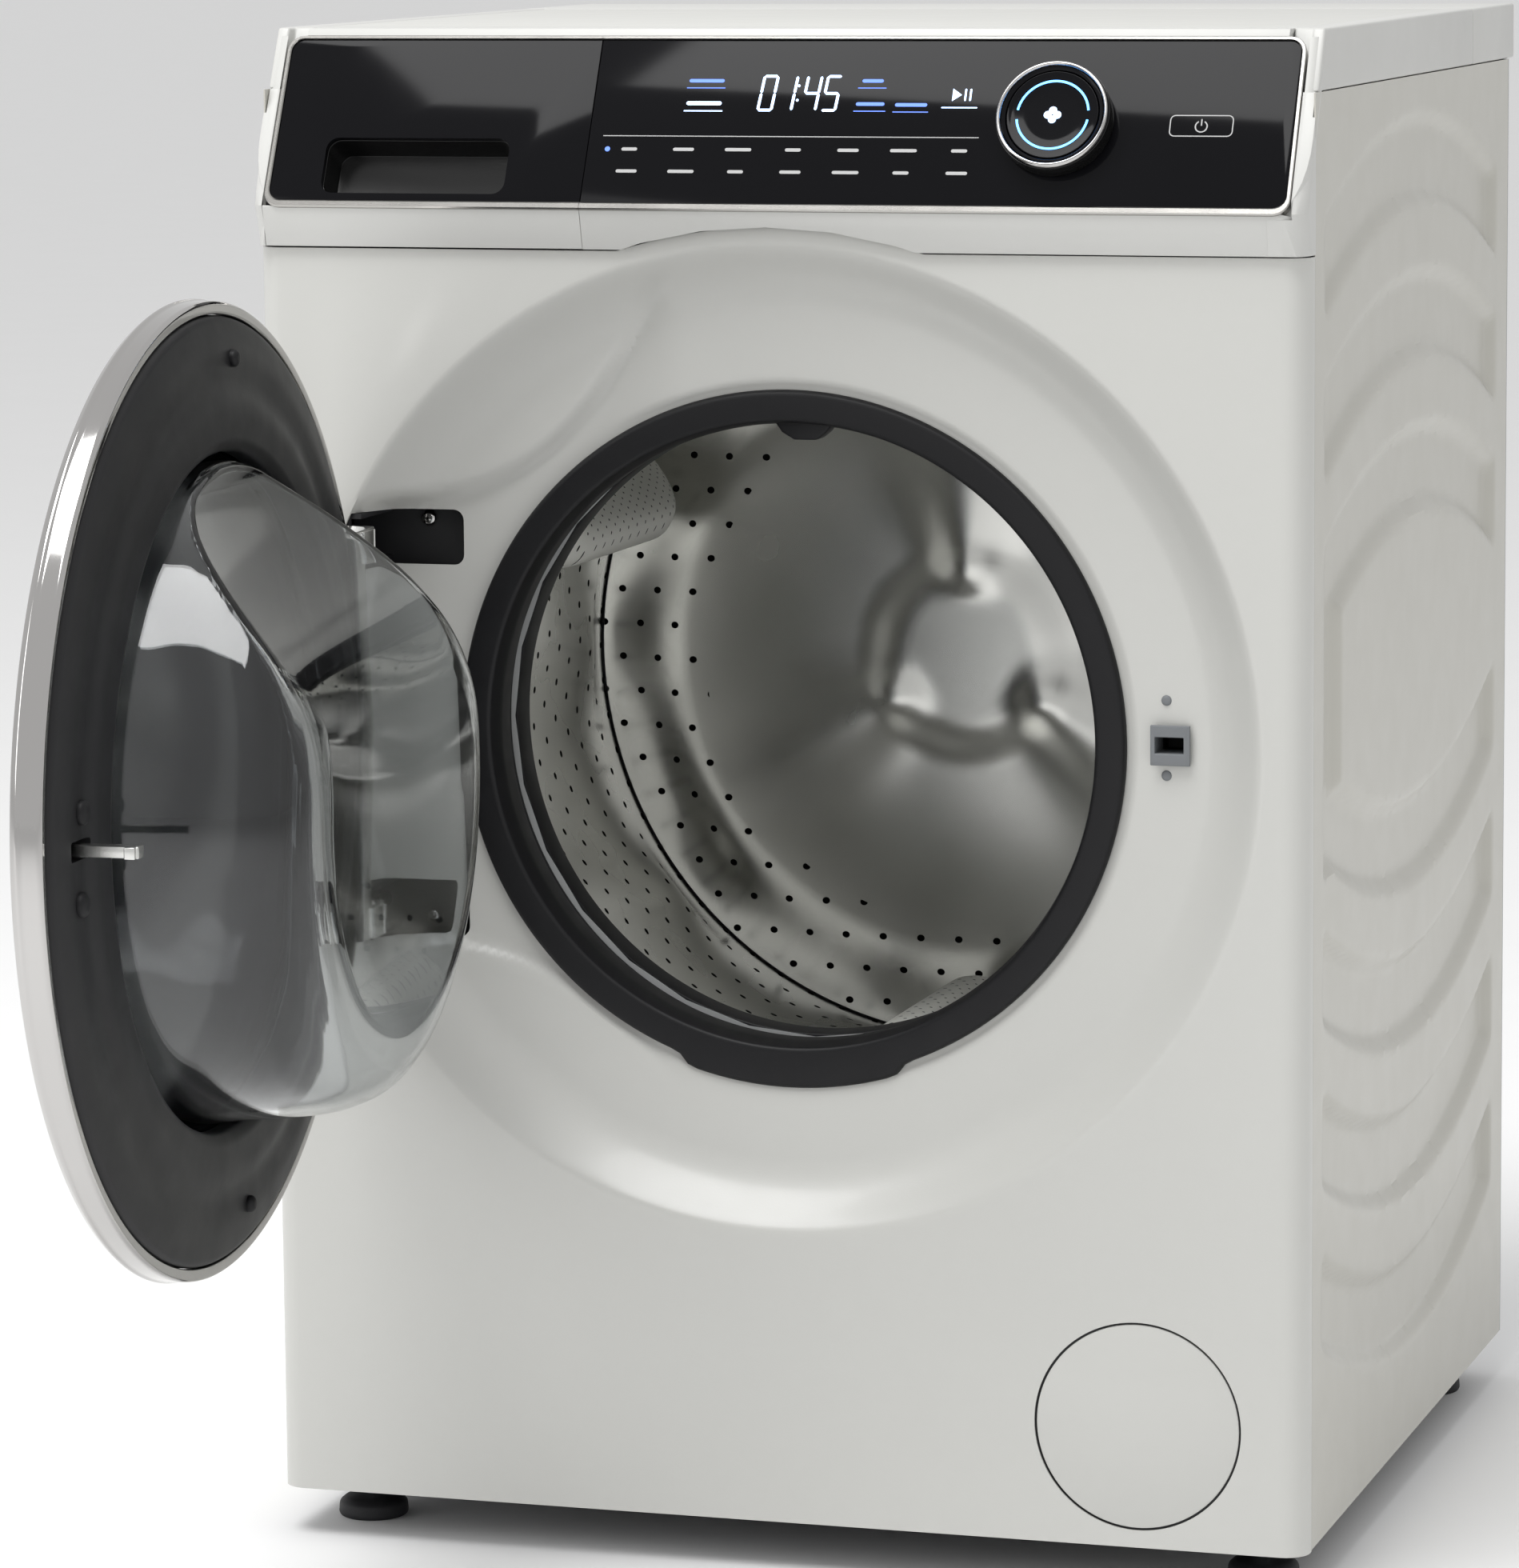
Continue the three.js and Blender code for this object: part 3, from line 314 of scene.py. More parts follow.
PRINT_GREY = finish("printed_marks", (0.42, 0.42, 0.42), 0.4, wear=0.12)
PRINT_BLUE = glow("lit_blue_marks", (0.12, 0.25, 1.0), 1.6)
DISPLAY_LIGHT = glow("display_light", (0.5, 0.68, 1.0), 4.0)
RING_LIGHT = glow("ring_light", (0.1, 0.4, 1.0), 5.0)
DRUM_STEEL = perforated("drum_steel", (0.68, 0.68, 0.65), 0.27, 1.0, 0.022, 0.0022, "wall")
DISC_STEEL = perforated("disc_steel", (0.68, 0.68, 0.65), 0.25, 1.0, 0.024, 0.0024, "disc")
# The lifters' off-white is set far above the other white plastics: painted light, so they show bright inside
# the dark drum.
BRIGHTENED_LIFTER_PLASTIC = perforated("brightened_lifter_plastic", (0.88, 0.88, 0.82), 0.4, 0.0, 0.009, 0.001, "paddle")
FLOOR_PAINT = finish("floor", (0.93, 0.93, 0.93), 0.8, wear=0.01)


# ------------------------------------------------------------------ mesh helpers
def mark_sharp(mesh_tools, degrees):
    for edge in mesh_tools.edges:
        faces = edge.link_faces
        edge.smooth = len(faces) == 2 and faces[0].normal.angle(faces[1].normal, 0.0) < math.radians(degrees)
    for face in mesh_tools.faces:
        face.smooth = True


def bake(thing):
    """Turns the modifiers into plain mesh."""
    view = bpy.context.evaluated_depsgraph_get()
    thing.data = bpy.data.meshes.new_from_object(thing.evaluated_get(view))
    thing.modifiers.clear()


def shade(thing, degrees=32):
    tools = bmesh.new()
    tools.from_mesh(thing.data)
    mark_sharp(tools, degrees)
    tools.to_mesh(thing.data)
    tools.free()


def piece(name, mesh_tools, body, material, place=CABINET, bevel=0.0, wall=0.0, sharp=32, ride=True):
    """A finished object from a bmesh drawn in millimetres."""
    bmesh.ops.remove_doubles(mesh_tools, verts=mesh_tools.verts, dist=0.01)
    bmesh.ops.recalc_face_normals(mesh_tools, faces=mesh_tools.faces)
    bmesh.ops.transform(mesh_tools, matrix=place, verts=mesh_tools.verts)
    mesh = bpy.data.meshes.new(name)
    mesh_tools.to_mesh(mesh)
    mesh_tools.free()
    thing = bpy.data.objects.new(name, mesh)
    bpy.context.scene.collection.objects.link(thing)
    mesh.materials.append(material)
    if wall:
        skin = thing.modifiers.new("wall", "SOLIDIFY")
        skin.thickness = wall * MM
        skin.offset = -1
    if bevel:
        add_bevel(thing, bevel)
    if wall or bevel:
        bake(thing)
    shade(thing, sharp)
    if ride:
        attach(thing, body)
    return thing


def add_bevel(thing, width):
    soft = thing.modifiers.new("bevel", "BEVEL")
    soft.width = width * MM
    soft.segments = 3
    soft.limit_method = "ANGLE"
    soft.angle_limit = math.radians(35)
    soft.harden_normals = False


def refined(node, body, material, bevel):
    """The CAD shape again, with its flats merged and its edges eased."""
    tools = bmesh.new()
    tools.from_mesh(frame["nodes"][node].data)
    bmesh.ops.transform(tools, matrix=CABINET.inverted(), verts=tools.verts)
    bmesh.ops.remove_doubles(tools, verts=tools.verts, dist=0.02)
    bmesh.ops.dissolve_limit(tools, angle_limit=math.radians(1.5), verts=tools.verts, edges=tools.edges)
    thing = piece(node + "_skin", tools, body, material, bevel=bevel)
    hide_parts(node)
    return thing


def paint(thing, material, choose):
    """Gives the faces that choose(centre in cabinet millimetres) picks another material."""
    thing.data.materials.append(material)
    slot = len(thing.data.materials) - 1
    to_mm = CABINET.inverted()
    for face in thing.data.polygons:
        if choose(to_mm @ face.center):
            face.material_index = slot


def cut_with(thing, cutters):
    """Takes the cutters' space out of the piece and throws the cutters away."""
    for cutter in cutters:
        hole = thing.modifiers.new("hole", "BOOLEAN")
        hole.object = cutter
        hole.operation = "DIFFERENCE"
        hole.solver = "EXACT"
    bake(thing)
    for cutter in cutters:
        bpy.data.objects.remove(cutter)
    shade(thing)


def grid(rows, columns, point, wrap=False):
    """A sheet of quads through point(row, column); wrap joins the last column to the first."""
    tools = bmesh.new()
    verts = [[tools.verts.new(point(i, j)) for j in range(columns)] for i in range(rows)]
    for i in range(rows - 1):
        for j in range(columns if wrap else columns - 1):
            k = (j + 1) % columns
            tools.faces.new((verts[i][j], verts[i][k], verts[i + 1][k], verts[i + 1][j]))
    return tools


def turned(profile, steps=160, x=0.0, z=AXIS):
    """Profile of (radius, y) turned round a front-to-back line through (x, z)."""
    def point(i, j):
        r, y = profile[i]
        angle = 2 * math.pi * j / steps
        return (x + r * math.cos(angle), y, z + r * math.sin(angle))
    return grid(len(profile), steps, point, wrap=True)


def upright(profile, x, y, steps=48):
    """Profile of (radius, z) turned round a vertical line through (x, y)."""
    def point(i, j):
        r, z = profile[i]
        angle = 2 * math.pi * j / steps
        return (x + r * math.cos(angle), y + r * math.sin(angle), z)
    return grid(len(profile), steps, point, wrap=True)


def raised(profile, x, s, steps=96):
    """Profile of (radius, height) turned round a line standing off the fascia at (x, s)."""
    def point(i, j):
        r, h = profile[i]
        angle = 2 * math.pi * j / steps
        return (x + r * math.cos(angle), s + r * math.sin(angle), h)
    return grid(len(profile), steps, point, wrap=True)


def eased(points, radius, steps=5, closed=False):
    """The polyline with its corners rounded to about the radius."""
    count = len(points)
    result = []
    for i, corner in enumerate(points):
        here = Vector(corner)
        if not closed and i in (0, count - 1):
            result.append(tuple(here))
            continue
        before = Vector(points[i - 1])
        after = Vector(points[(i + 1) % count])
        reach = min(radius, (here - before).length * 0.45, (after - here).length * 0.45)
        start = here + (before - here).normalized() * reach
        end = here + (after - here).normalized() * reach
        for step in range(steps + 1):
            t = step / steps
            result.append(tuple(start * (1 - t) ** 2 + here * 2 * t * (1 - t) + end * t * t))
    if closed:
        result.append(result[0])
    return result


def rounded_rect(u0, v0, u1, v1, radius, steps=6):
    centres = ((u0 + radius, v0 + radius, 180), (u1 - radius, v0 + radius, 270),
               (u1 - radius, v1 - radius, 0), (u0 + radius, v1 - radius, 90))
    outline = []
    for u, v, start in centres:
        for step in range(steps + 1):
            angle = math.radians(start + 90 * step / steps)
            outline.append((u + radius * math.cos(angle), v + radius * math.sin(angle)))
    return outline


def prism(outline, low, high, axes="xyz"):
    """An outline raised from low to high; axes says which way the outline lies."""
    tools = bmesh.new()
    order = {"xyz": lambda u, v, w: (u, v, w), "xzy": lambda u, v, w: (u, w, v)}[axes]
    bottom = [tools.verts.new(order(u, v, low)) for u, v in outline]
    top = [tools.verts.new(order(u, v, high)) for u, v in outline]
    tools.faces.new(bottom)
    tools.faces.new(top)
    for i in range(len(outline)):
        k = (i + 1) % len(outline)
        tools.faces.new((bottom[i], bottom[k], top[k], top[i]))
    return tools


def merged(parts):
    """One bmesh holding all the parts."""
    whole = bmesh.new()
    for part in parts:
        carrier = bpy.data.meshes.new("carrier")
        part.to_mesh(carrier)
        part.free()
        whole.from_mesh(carrier)
        bpy.data.meshes.remove(carrier)
    return whole


def cutter(tools, place=CABINET):
    return piece("cutter", tools, None, WHITE_PAINT, place=place, ride=False)


def smoothstep(low, high, value):
    t = min(1.0, max(0.0, (value - low) / (high - low)))
    return t * t * (3 - 2 * t)


# ------------------------------------------------------------------ front panel
# How deep a cutter reaches to go right through the panel.
THROUGH = 60
COVE_WIDTH = 34
COVE_DEPTH = 21
POCKET_DEPTH = 34
POCKET_COVE_WIDTH = 16


def soft_ramp(distance, softness):
    """Zero slope at the start, then straight."""
    return distance * distance / (distance + softness) if distance > 0 else 0.0


def dish_depth(r):
    """Depth of the round dish: a cove at the rim, a cone inward and a small step at the port."""
    cove = math.sin(0.5 * math.pi * min(1.0, soft_ramp(DISH_RIM - r, 4) / COVE_WIDTH))
    slope = 9 * min(1.0, max(0.0, (DISH_RIM - r) / (DISH_RIM - PORT_R)))
    step = 2 * smoothstep(PORT_R + 9, PORT_R + 5, r)
    return COVE_DEPTH * cove + slope + step


def front_depth(x, z):
    """How far the front panel lies behind its flat face at (x, z), with the hinge pocket."""
    r = math.hypot(x, z - AXIS)
    depth = dish_depth(r)
    flare = max(0.0, (x + 260) / 110) ** 3
    offset = z - AXIS
    half_height = 131 + 25 * flare if offset > 0 else 127 + 14 * flare
    inside = smoothstep(0, 13, half_height - abs(offset)) * smoothstep(-60, -110, x)
    cove = min(1.0, soft_ramp(DISH_RIM - r, 2) / POCKET_COVE_WIDTH)
    pocket = POCKET_DEPTH * math.sin(0.5 * math.pi * cove)
    return depth + inside * max(0.0, pocket - depth)


def front_panel():
    arch = DISH_RIM + 8
    flat_half = HALF - CORNER_R
    top = SEAM - 0.5
    corners = [math.atan2(z - AXIS, x) for x in (flat_half, -flat_half) for z in (BOTTOM, top)]
    angles = sorted([2 * math.pi * i / 300 - math.pi for i in range(300)] + corners)
    inner_rings = 44
    outer_rings = 6

    def edge_radius(angle):
        sideways, up = math.cos(angle), math.sin(angle)
        limits = [flat_half / max(abs(sideways), 1e-9)]
        limits.append((top - AXIS if up > 0 else AXIS - BOTTOM) / max(abs(up), 1e-9))
        return max(arch, min(limits))

    def point(i, j):
        angle = angles[j]
        if i <= inner_rings:
            r = PORT_R + (arch - PORT_R) * i / inner_rings
        else:
            r = arch + (edge_radius(angle) - arch) * (i - inner_rings) / outer_rings
        x, z = r * math.cos(angle), AXIS + r * math.sin(angle)
        return (x, front_depth(x, z), z)

    face = grid(inner_rings + outer_rings + 1, len(angles), point, wrap=True)
    heights = sorted({round(AXIS + edge_radius(a) * math.sin(a), 4) for a in angles
                      if abs(abs(edge_radius(a) * math.cos(a)) - flat_half) < 0.01} | {BOTTOM, top})

    def wrap(side):
        """The panel's rounded corner on one side, turned back to the side panel."""
        def corner_point(i, j):
            turn = 0.5 * math.pi * min(i, 6) / 6
            back = WRAP_Y - CORNER_R if i == 7 else 0
            x = flat_half + CORNER_R * math.sin(turn)
            return (side * x, CORNER_R * (1 - math.cos(turn)) + back, heights[j])
        return grid(8, len(heights), corner_point)

    panel = piece("front_panel_skin", merged([face, wrap(-1), wrap(1)]), "cabinet", WHITE_PAINT, wall=1.2)
    holes = []
    for side in (-1, 1):
        middle = AXIS + side * HINGE_OFFSET
        hinge_slot = rounded_rect(-254, middle - 15.5, -190, middle + 15.5, 6)
        holes.append(cutter(prism(hinge_slot, 1.0, THROUGH, "xzy")))
    holes.append(cutter(capped([(FLAP_R + 0.9, -2), (FLAP_R + 0.9, 10)], FLAP.x, FLAP.z)))
    latch_hole = rounded_rect(HOOK.x - 10, HOOK.z - 10, HOOK.x + 10, HOOK.z + 10, 1)
    holes.append(cutter(prism(latch_hole, -2, THROUGH, "xzy")))
    cut_with(panel, holes)
    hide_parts("front_panel")


def capped(profile, x, z, steps=120):
    """A solid plug: the profile turned, with both ends closed."""
    return turned([(0.001, profile[0][1])] + profile + [(0.001, profile[-1][1])], steps, x, z)


def filter_flap():
    profile = [(0.001, 0.1), (FLAP_R - 1.5, 0.1), (FLAP_R - 0.5, 0.6), (FLAP_R - 0.4, 2.0),
               (0.001, 2.0)]
    flap = piece("filter_flap_skin", turned(profile, 120, FLAP.x, FLAP.z), "filter_flap", WHITE_PAINT)
    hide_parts("filter_flap")
    piece("filter_flap_seat", turned([(FLAP_R - 4, 3.2), (FLAP_R + 3, 3.2)], 120, FLAP.x, FLAP.z),
          "cabinet", DARK_PLASTIC, wall=0.8)


# ------------------------------------------------------------------ side panels
# Pressed bands: their height, depth, edge width, spacing and front and rear ends.
BAND_HEIGHT = 45
BAND_DEPTH = 6.0
BAND_EDGE = 10
BAND_STEP = 90
ARCH_STEP = 88
BAND_FRONT, BAND_REAR = 40, 521


def band(y, z, lower_edge, bow):
    """1 inside one curved pressing, 0 outside; bow is how far its ends drop or rise."""
    bend = ((y - 285) / 232) ** 2
    bottom = lower_edge + bow * bend
    ends = smoothstep(BAND_FRONT, BAND_FRONT + BAND_EDGE, y) * smoothstep(BAND_REAR, BAND_REAR - BAND_EDGE, y)
    above = smoothstep(0, BAND_EDGE, z - bottom)
    below = smoothstep(BAND_HEIGHT + BAND_EDGE, BAND_HEIGHT, z - bottom)
    return ends * above * below


def side_relief(y, z):
    """Depth of the pressings: arches above, smiles below and an upright strip between."""
    arches = [band(y, z, 742 - ARCH_STEP * i, -43) for i in range(3)]
    smiles = [band(y, z, 353 - BAND_STEP * i, 45) for i in range(4)]
    strip_width = smoothstep(BAND_FRONT, BAND_FRONT + BAND_EDGE, y) * smoothstep(86, 76, y)
    strip = strip_width * smoothstep(392, 400, z) * smoothstep(552, 540, z)
    return BAND_DEPTH * max(arches + smiles + [strip])


def side_panel(side, node):
    low, high = cabinet_box(node)
    rows, columns = 136, 200

    def point(i, j):
        y = low.y + (high.y - low.y) * i / (rows - 1)
        z = low.z + (high.z - low.z) * j / (columns - 1)
        return (side * (HALF - side_relief(y, z)), y, z)

    # The side panels take the darker side paint: painted shade.
    panel = piece(node + "_skin", grid(rows, columns, point), "cabinet", SHADED_SIDE_PAINT, wall=0.9)
    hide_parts(node)


# ------------------------------------------------------------------ console
# Fascia trim and plate, measured along the slope, and the housing's rounded ends.
BORDER = 2.4
END_ROUND = 7
# How far the band below the slope leans forward for each millimetre up.
BAND_LEAN = -0.24
PLATE_TOP = FASCIA_LENGTH - 2.8
PLATE_BOTTOM = 3.4
TRIM_BOTTOM = -0.9


def console_end(side, name):
    """Rounded end of the console beside the fascia, from the seam up to the worktop.

    A thin skin just proud of the housing. Its corner tightens from the panel's radius at the
    seam to END_ROUND up the slope. On the drawer's side it stays clear of the drawer's front.
    """
    slope_foot = ON_SLOPE @ Vector((0, 0, 0))
    slope_head = ON_SLOPE @ Vector((0, FASCIA_LENGTH, 0))
    lean = (slope_head.y - slope_foot.y) / (slope_head.z - slope_foot.z)
    proud = 0.05
    arc_steps, rows = 8, 12

    def front(z):
        return slope_foot.y + (z - slope_foot.z) * (lean if z > slope_foot.z else BAND_LEAN)

    def strip(inner, bottom, top):
        def point(i, j):
            z = bottom + (top - bottom) * j / rows
            r = CORNER_R - (CORNER_R - END_ROUND) * smoothstep(SEAM + 4, slope_foot.z + 30, z)
            first = math.asin(max(0.0, inner - HALF + r) / r)
            turn = first + (math.pi / 2 - first) * max(0, min(i - 1, arc_steps)) / arc_steps
            x = inner if i == 0 else HALF - r * (1 - math.sin(turn))
            y = front(z) - proud + r * (1 - math.cos(turn))
            at_side = i == arc_steps + 2
            return (side * (x + proud), max(y, WRAP_Y) + 1 if at_side else y, z)
        return grid(arc_steps + 3, rows + 1, point)

    split = slope_foot.z
    band_inner = HALF - 21 if side > 0 else DRAWER_CLEAR
    strips = [strip(band_inner, SEAM + 0.5, split - 3), strip(DRAWER_CLEAR, split - 3, split),
              strip(DRAWER_CLEAR, split, slope_head.z - 0.6)]
    piece(name, merged(strips), "cabinet", WHITE_PLASTIC)


def keep_side(tools, x, keep_left):
    """Cuts at x and keeps one side, with the cut closed."""
    geometry = tools.verts[:] + tools.edges[:] + tools.faces[:]
    bmesh.ops.bisect_plane(tools, geom=geometry, plane_co=(x, 0, 0), plane_no=(1, 0, 0),
                           clear_outer=keep_left, clear_inner=not keep_left)
    rim = [edge for edge in tools.edges if len(edge.link_faces) == 1]
    bmesh.ops.holes_fill(tools, edges=rim)
    return tools


def trim_ring():
    """The metal edge all round the fascia; each section point is (share of the border, height)."""
    outer = rounded_rect(-FASCIA_HALF, TRIM_BOTTOM, FASCIA_HALF, FASCIA_LENGTH - 0.8, 9)
    inner = rounded_rect(-FASCIA_HALF + BORDER, PLATE_BOTTOM, FASCIA_HALF - BORDER, PLATE_TOP, 7)
    section = [(0.0, -4.0), (0.0, 0.6), (0.18, 1.2), (0.8, 1.2), (1.0, 0.5), (1.0, -4.0)]

    def point(i, j):
        share, height = section[i % len(section)]
        (u0, v0), (u1, v1) = outer[j], inner[j]
        return (u0 + (u1 - u0) * share, v0 + (v1 - v0) * share, height)

    return grid(len(section) + 1, len(outer), point, wrap=True)


def glass_plate():
    """The black plate that fills the trim ring."""
    gap = 0.2
    half = FASCIA_HALF - BORDER - gap
    outline = rounded_rect(-half, PLATE_BOTTOM + gap, half, PLATE_TOP - gap, 6.8)
    return prism(outline, -3, 0)


def fascia():
    seam = 0.15
    left_trim = piece("drawer_trim_skin", keep_side(trim_ring(), DRAWER_RIGHT - seam, True),
                      "drawer", TRIM_CHROME, place=FASCIA)
    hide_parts("drawer_trim")
    right_trim = piece("fascia_trim_skin", keep_side(trim_ring(), DRAWER_RIGHT + seam, False),
                       "cabinet", TRIM_CHROME, place=FASCIA)
    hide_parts("fascia_trim")
    drawer_plate = piece("drawer_glass_skin", keep_side(glass_plate(), DRAWER_RIGHT - 2 * seam, True),
                         "drawer", BLACK_GLASS, place=FASCIA, bevel=0.25)
    grip = cutter(prism(rounded_rect(-257, 8, -150, 41, 7), -9, 9), FASCIA)
    cut_with(drawer_plate, [grip])
    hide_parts("drawer_glass")
    main_plate = piece("fascia_glass_skin", keep_side(glass_plate(), DRAWER_RIGHT + seam, False),
                       "cabinet", BLACK_GLASS, place=FASCIA, bevel=0.25)
    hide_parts("fascia_glass")
    carrier = refined("drawer_front", "drawer", WHITE_PLASTIC, 0.3)
    to_slope = ON_SLOPE.inverted()

    def in_recess(point):
        x, s, h = to_slope @ point
        return -262 < x < -145 and 3 < s < 46 and h < -4

    # The white faces inside the drawer's grip recess turn near black: painted shade in the recess.
    paint(carrier, BLACK_AND_PAINTED_SHADE, in_recess)


def bar(x0, x1, s, width, height=0.12):
    """A thin round-ended dash on the fascia glass."""
    radius = width / 2 * 0.98
    return prism(rounded_rect(x0, s - width / 2, x1, s + width / 2, radius, 3), 0.02, height)


def segment(u0, v0, u1, v1, width):
    """One lit segment of a digit, with pointed ends."""
    start, end = Vector((u0, v0)), Vector((u1, v1))
    along = (end - start).normalized()
    side = Vector((-along.y, along.x)) * width / 2
    tip = along * width / 2
    outline = [start, start + tip + side, end - tip + side, end, end - tip - side, start + tip - side]
    return prism([tuple(p) for p in outline], 0.02, 0.12)


# Lit segments of each figure: a at the top, then clockwise to f, with g across the middle.
SEGMENTS = {"0": "abcdef", "1": "bc", "2": "abged", "4": "fgbc", "5": "afgcd"}
DIGIT_WIDTH, DIGIT_HEIGHT = 7.6, 20.0


def digit(character, x, s):
    w, h, lean = DIGIT_WIDTH, DIGIT_HEIGHT, 0.08
    ends = {"a": (0, h, w, h), "b": (w, h, w, h / 2), "c": (w, h / 2, w, 0), "d": (0, 0, w, 0),
            "e": (0, h / 2, 0, 0), "f": (0, h, 0, h / 2), "g": (0, h / 2, w, h / 2)}
    parts = []
    for letter in SEGMENTS[character]:
        u0, v0, u1, v1 = ends[letter]
        parts.append(segment(x + u0 + lean * v0, s + v0, x + u1 + lean * v1, s + v1, 1.5))
    return parts


def ring_arc(x, s, radius, width, start, end, steps=40, height=0.12):
    """A flat arc on the fascia, in degrees from the right."""
    def point(i, j):
        angle = math.radians(start + (end - start) * j / steps)
        r = radius + (width / 2 if i in (1, 2) else -width / 2)
        return (x + r * math.cos(angle), s + r * math.sin(angle), height if i in (2, 3) else 0.02)
    return grid(4, steps + 1, point)


def outline_box(x0, s0, x1, s1, radius, width):
    outer = rounded_rect(x0, s0, x1, s1, radius)
    inner = rounded_rect(x0 + width, s0 + width, x1 - width, s1 - width, radius - width)
    rings = [outer, inner]

    def point(i, j):
        u, v = rings[i][j]
        return (u, v, 0.12)

    return grid(2, len(outer), point, wrap=True)


def fascia_marks():
    """Plain dashes stand where the wording was; only figures and common symbols are drawn."""
    dashes = [bar(-97, 115, 43, 0.5)]
    columns = [-81 + 31 * i for i in range(7)]
    for row, s in enumerate((35.2, 22.2)):
        for i, x in enumerate(columns):
            length = 9 + 3 * ((i + row) % 3)
            dashes.append(bar(x - length / 2, x + length / 2, s, 1.9))
    dashes.append(outline_box(219, 44.3, 253.7, 56.8, 3, 0.6))
    dashes.append(ring_arc(236.3, 50.2, 3.2, 0.7, 120, 420))
    dashes.append(segment(236.3, 50.5, 236.3, 54.6, 0.7))
    piece("fascia_printed_marks", merged(dashes), "cabinet", PRINT_GREY, place=FASCIA)
    blue = [bar(x - half, x + half, s, 2.0) for x, s, half in
            ((-42, 75.8, 10), (52, 76, 6), (52, 62.4, 8), (75, 62, 9))]
    blue += [bar(x - half, x + half, s - 4.2, 0.5) for x, s, half in
             ((-42, 75.8, 11), (52, 76, 8), (52, 62.4, 9), (75, 62, 10))]
    blue.append(bar(-95, -92, 35.2, 2.9))
    piece("fascia_blue_marks", merged(blue), "cabinet", PRINT_BLUE, place=FASCIA)
    lit = [bar(-52, -32, 62.5, 2.2), bar(-53, -31, 58.0, 0.6), bar(92, 112, 60.5, 0.6)]
    for i, character in enumerate("0145"):
        lit += digit(character, -11 + 11.2 * i + (2.4 if i > 1 else 0), 58.6)
    lit += [bar(9.9, 11.4, s, 1.5) for s in (64.5, 73.0)]
    lit.append(prism([(97.5, 64.4), (97.5, 71.6), (102.6, 68.0)], 0.02, 0.12))
    lit += [prism(rounded_rect(x, 64.5, x + 1.0, 71.5, 0.4), 0.02, 0.12) for x in (104.2, 107.0)]
    piece("display_figures", merged(lit), "cabinet", DISPLAY_LIGHT, place=FASCIA)


def knob():
    rim = eased([(28, 0.5), (31, 0.5), (31, 11.6), (30.2, 13.4), (29, 13.6), (28, 12)], 0.8, 4, closed=True)
    ring = piece("knob_ring_skin", raised(rim, KNOB_X, KNOB_S), "program_knob", CHROME, place=FASCIA)
    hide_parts("program_knob_ring")
    grip = eased([(30, 0.4), (31.3, 0.4), (31.3, 10.6), (30, 10.6)], 0.4, 2, closed=True)
    piece("knob_grip_band", raised(grip, KNOB_X, KNOB_S), "program_knob", BLACK_AND_PAINTED_SHADE, place=FASCIA)
    collar = eased([(25.7, 0.5), (27.9, 0.5), (27.9, 12.6), (25.7, 11.2)], 0.5, 3, closed=True)
    piece("knob_collar", raised(collar, KNOB_X, KNOB_S), "program_knob", BLACK_GLASS, place=FASCIA)
    dish = [(0.001, 10.2), (15, 10.3), (22, 10.8), (25.0, 11.4), (25.3, 10.8), (25.3, 0.4)]
    face = piece("knob_face_skin", raised(eased(dish, 1.5), KNOB_X, KNOB_S), "cabinet", BLACK_GLASS,
                 place=FASCIA)
    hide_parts("knob_face")
    raise_by = Matrix.Translation((0, 0, 10.9))
    arcs = [ring_arc(KNOB_X, KNOB_S, 19.6, 1.2, 8, 172), ring_arc(KNOB_X, KNOB_S, 19.6, 1.2, 188, 352)]
    piece("knob_light_ring", merged(arcs), "cabinet", RING_LIGHT, place=FASCIA @ raise_by)
    dots = [raised([(0.001, 0.12), (2.1, 0.12), (2.2, 0.0)], KNOB_X + 2.6 * u, KNOB_S + 2.6 * v, 24)
            for u, v in ((1, 0), (-1, 0), (0, 1), (0, -1))]
    piece("knob_light_centre", merged(dots), "cabinet", DISPLAY_LIGHT, place=FASCIA @ raise_by)


# ------------------------------------------------------------------ door
def door_rings():
    back = DOOR_R - 1.3
    outer = eased([(247.7, -3.2), (249.5, -5), (253, -4.2), (DOOR_R, 0), (back, 2.2), (back, 10.8),
                   (253.2, 12.7), (247.7, 12.7)], 1.6, 4, closed=True)
    ring = piece("door_trim_ring_skin", turned(outer, 240), "door", CHROME, place=DOOR)
    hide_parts("door_trim_ring")
    lens = eased([(0.001, -14), (120, -12.8), (200, -9.6), (241, -5.6), (247.2, -3.6), (247.2, 0.5),
                  (238, 0.5), (200, -5.5), (120, -8.8), (0.001, -10)], 12, 6)
    pane = piece("door_outer_glass_skin", turned(lens, 240), "door", DARK_DOOR_GLASS, place=DOOR)
    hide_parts("door_outer_glass")


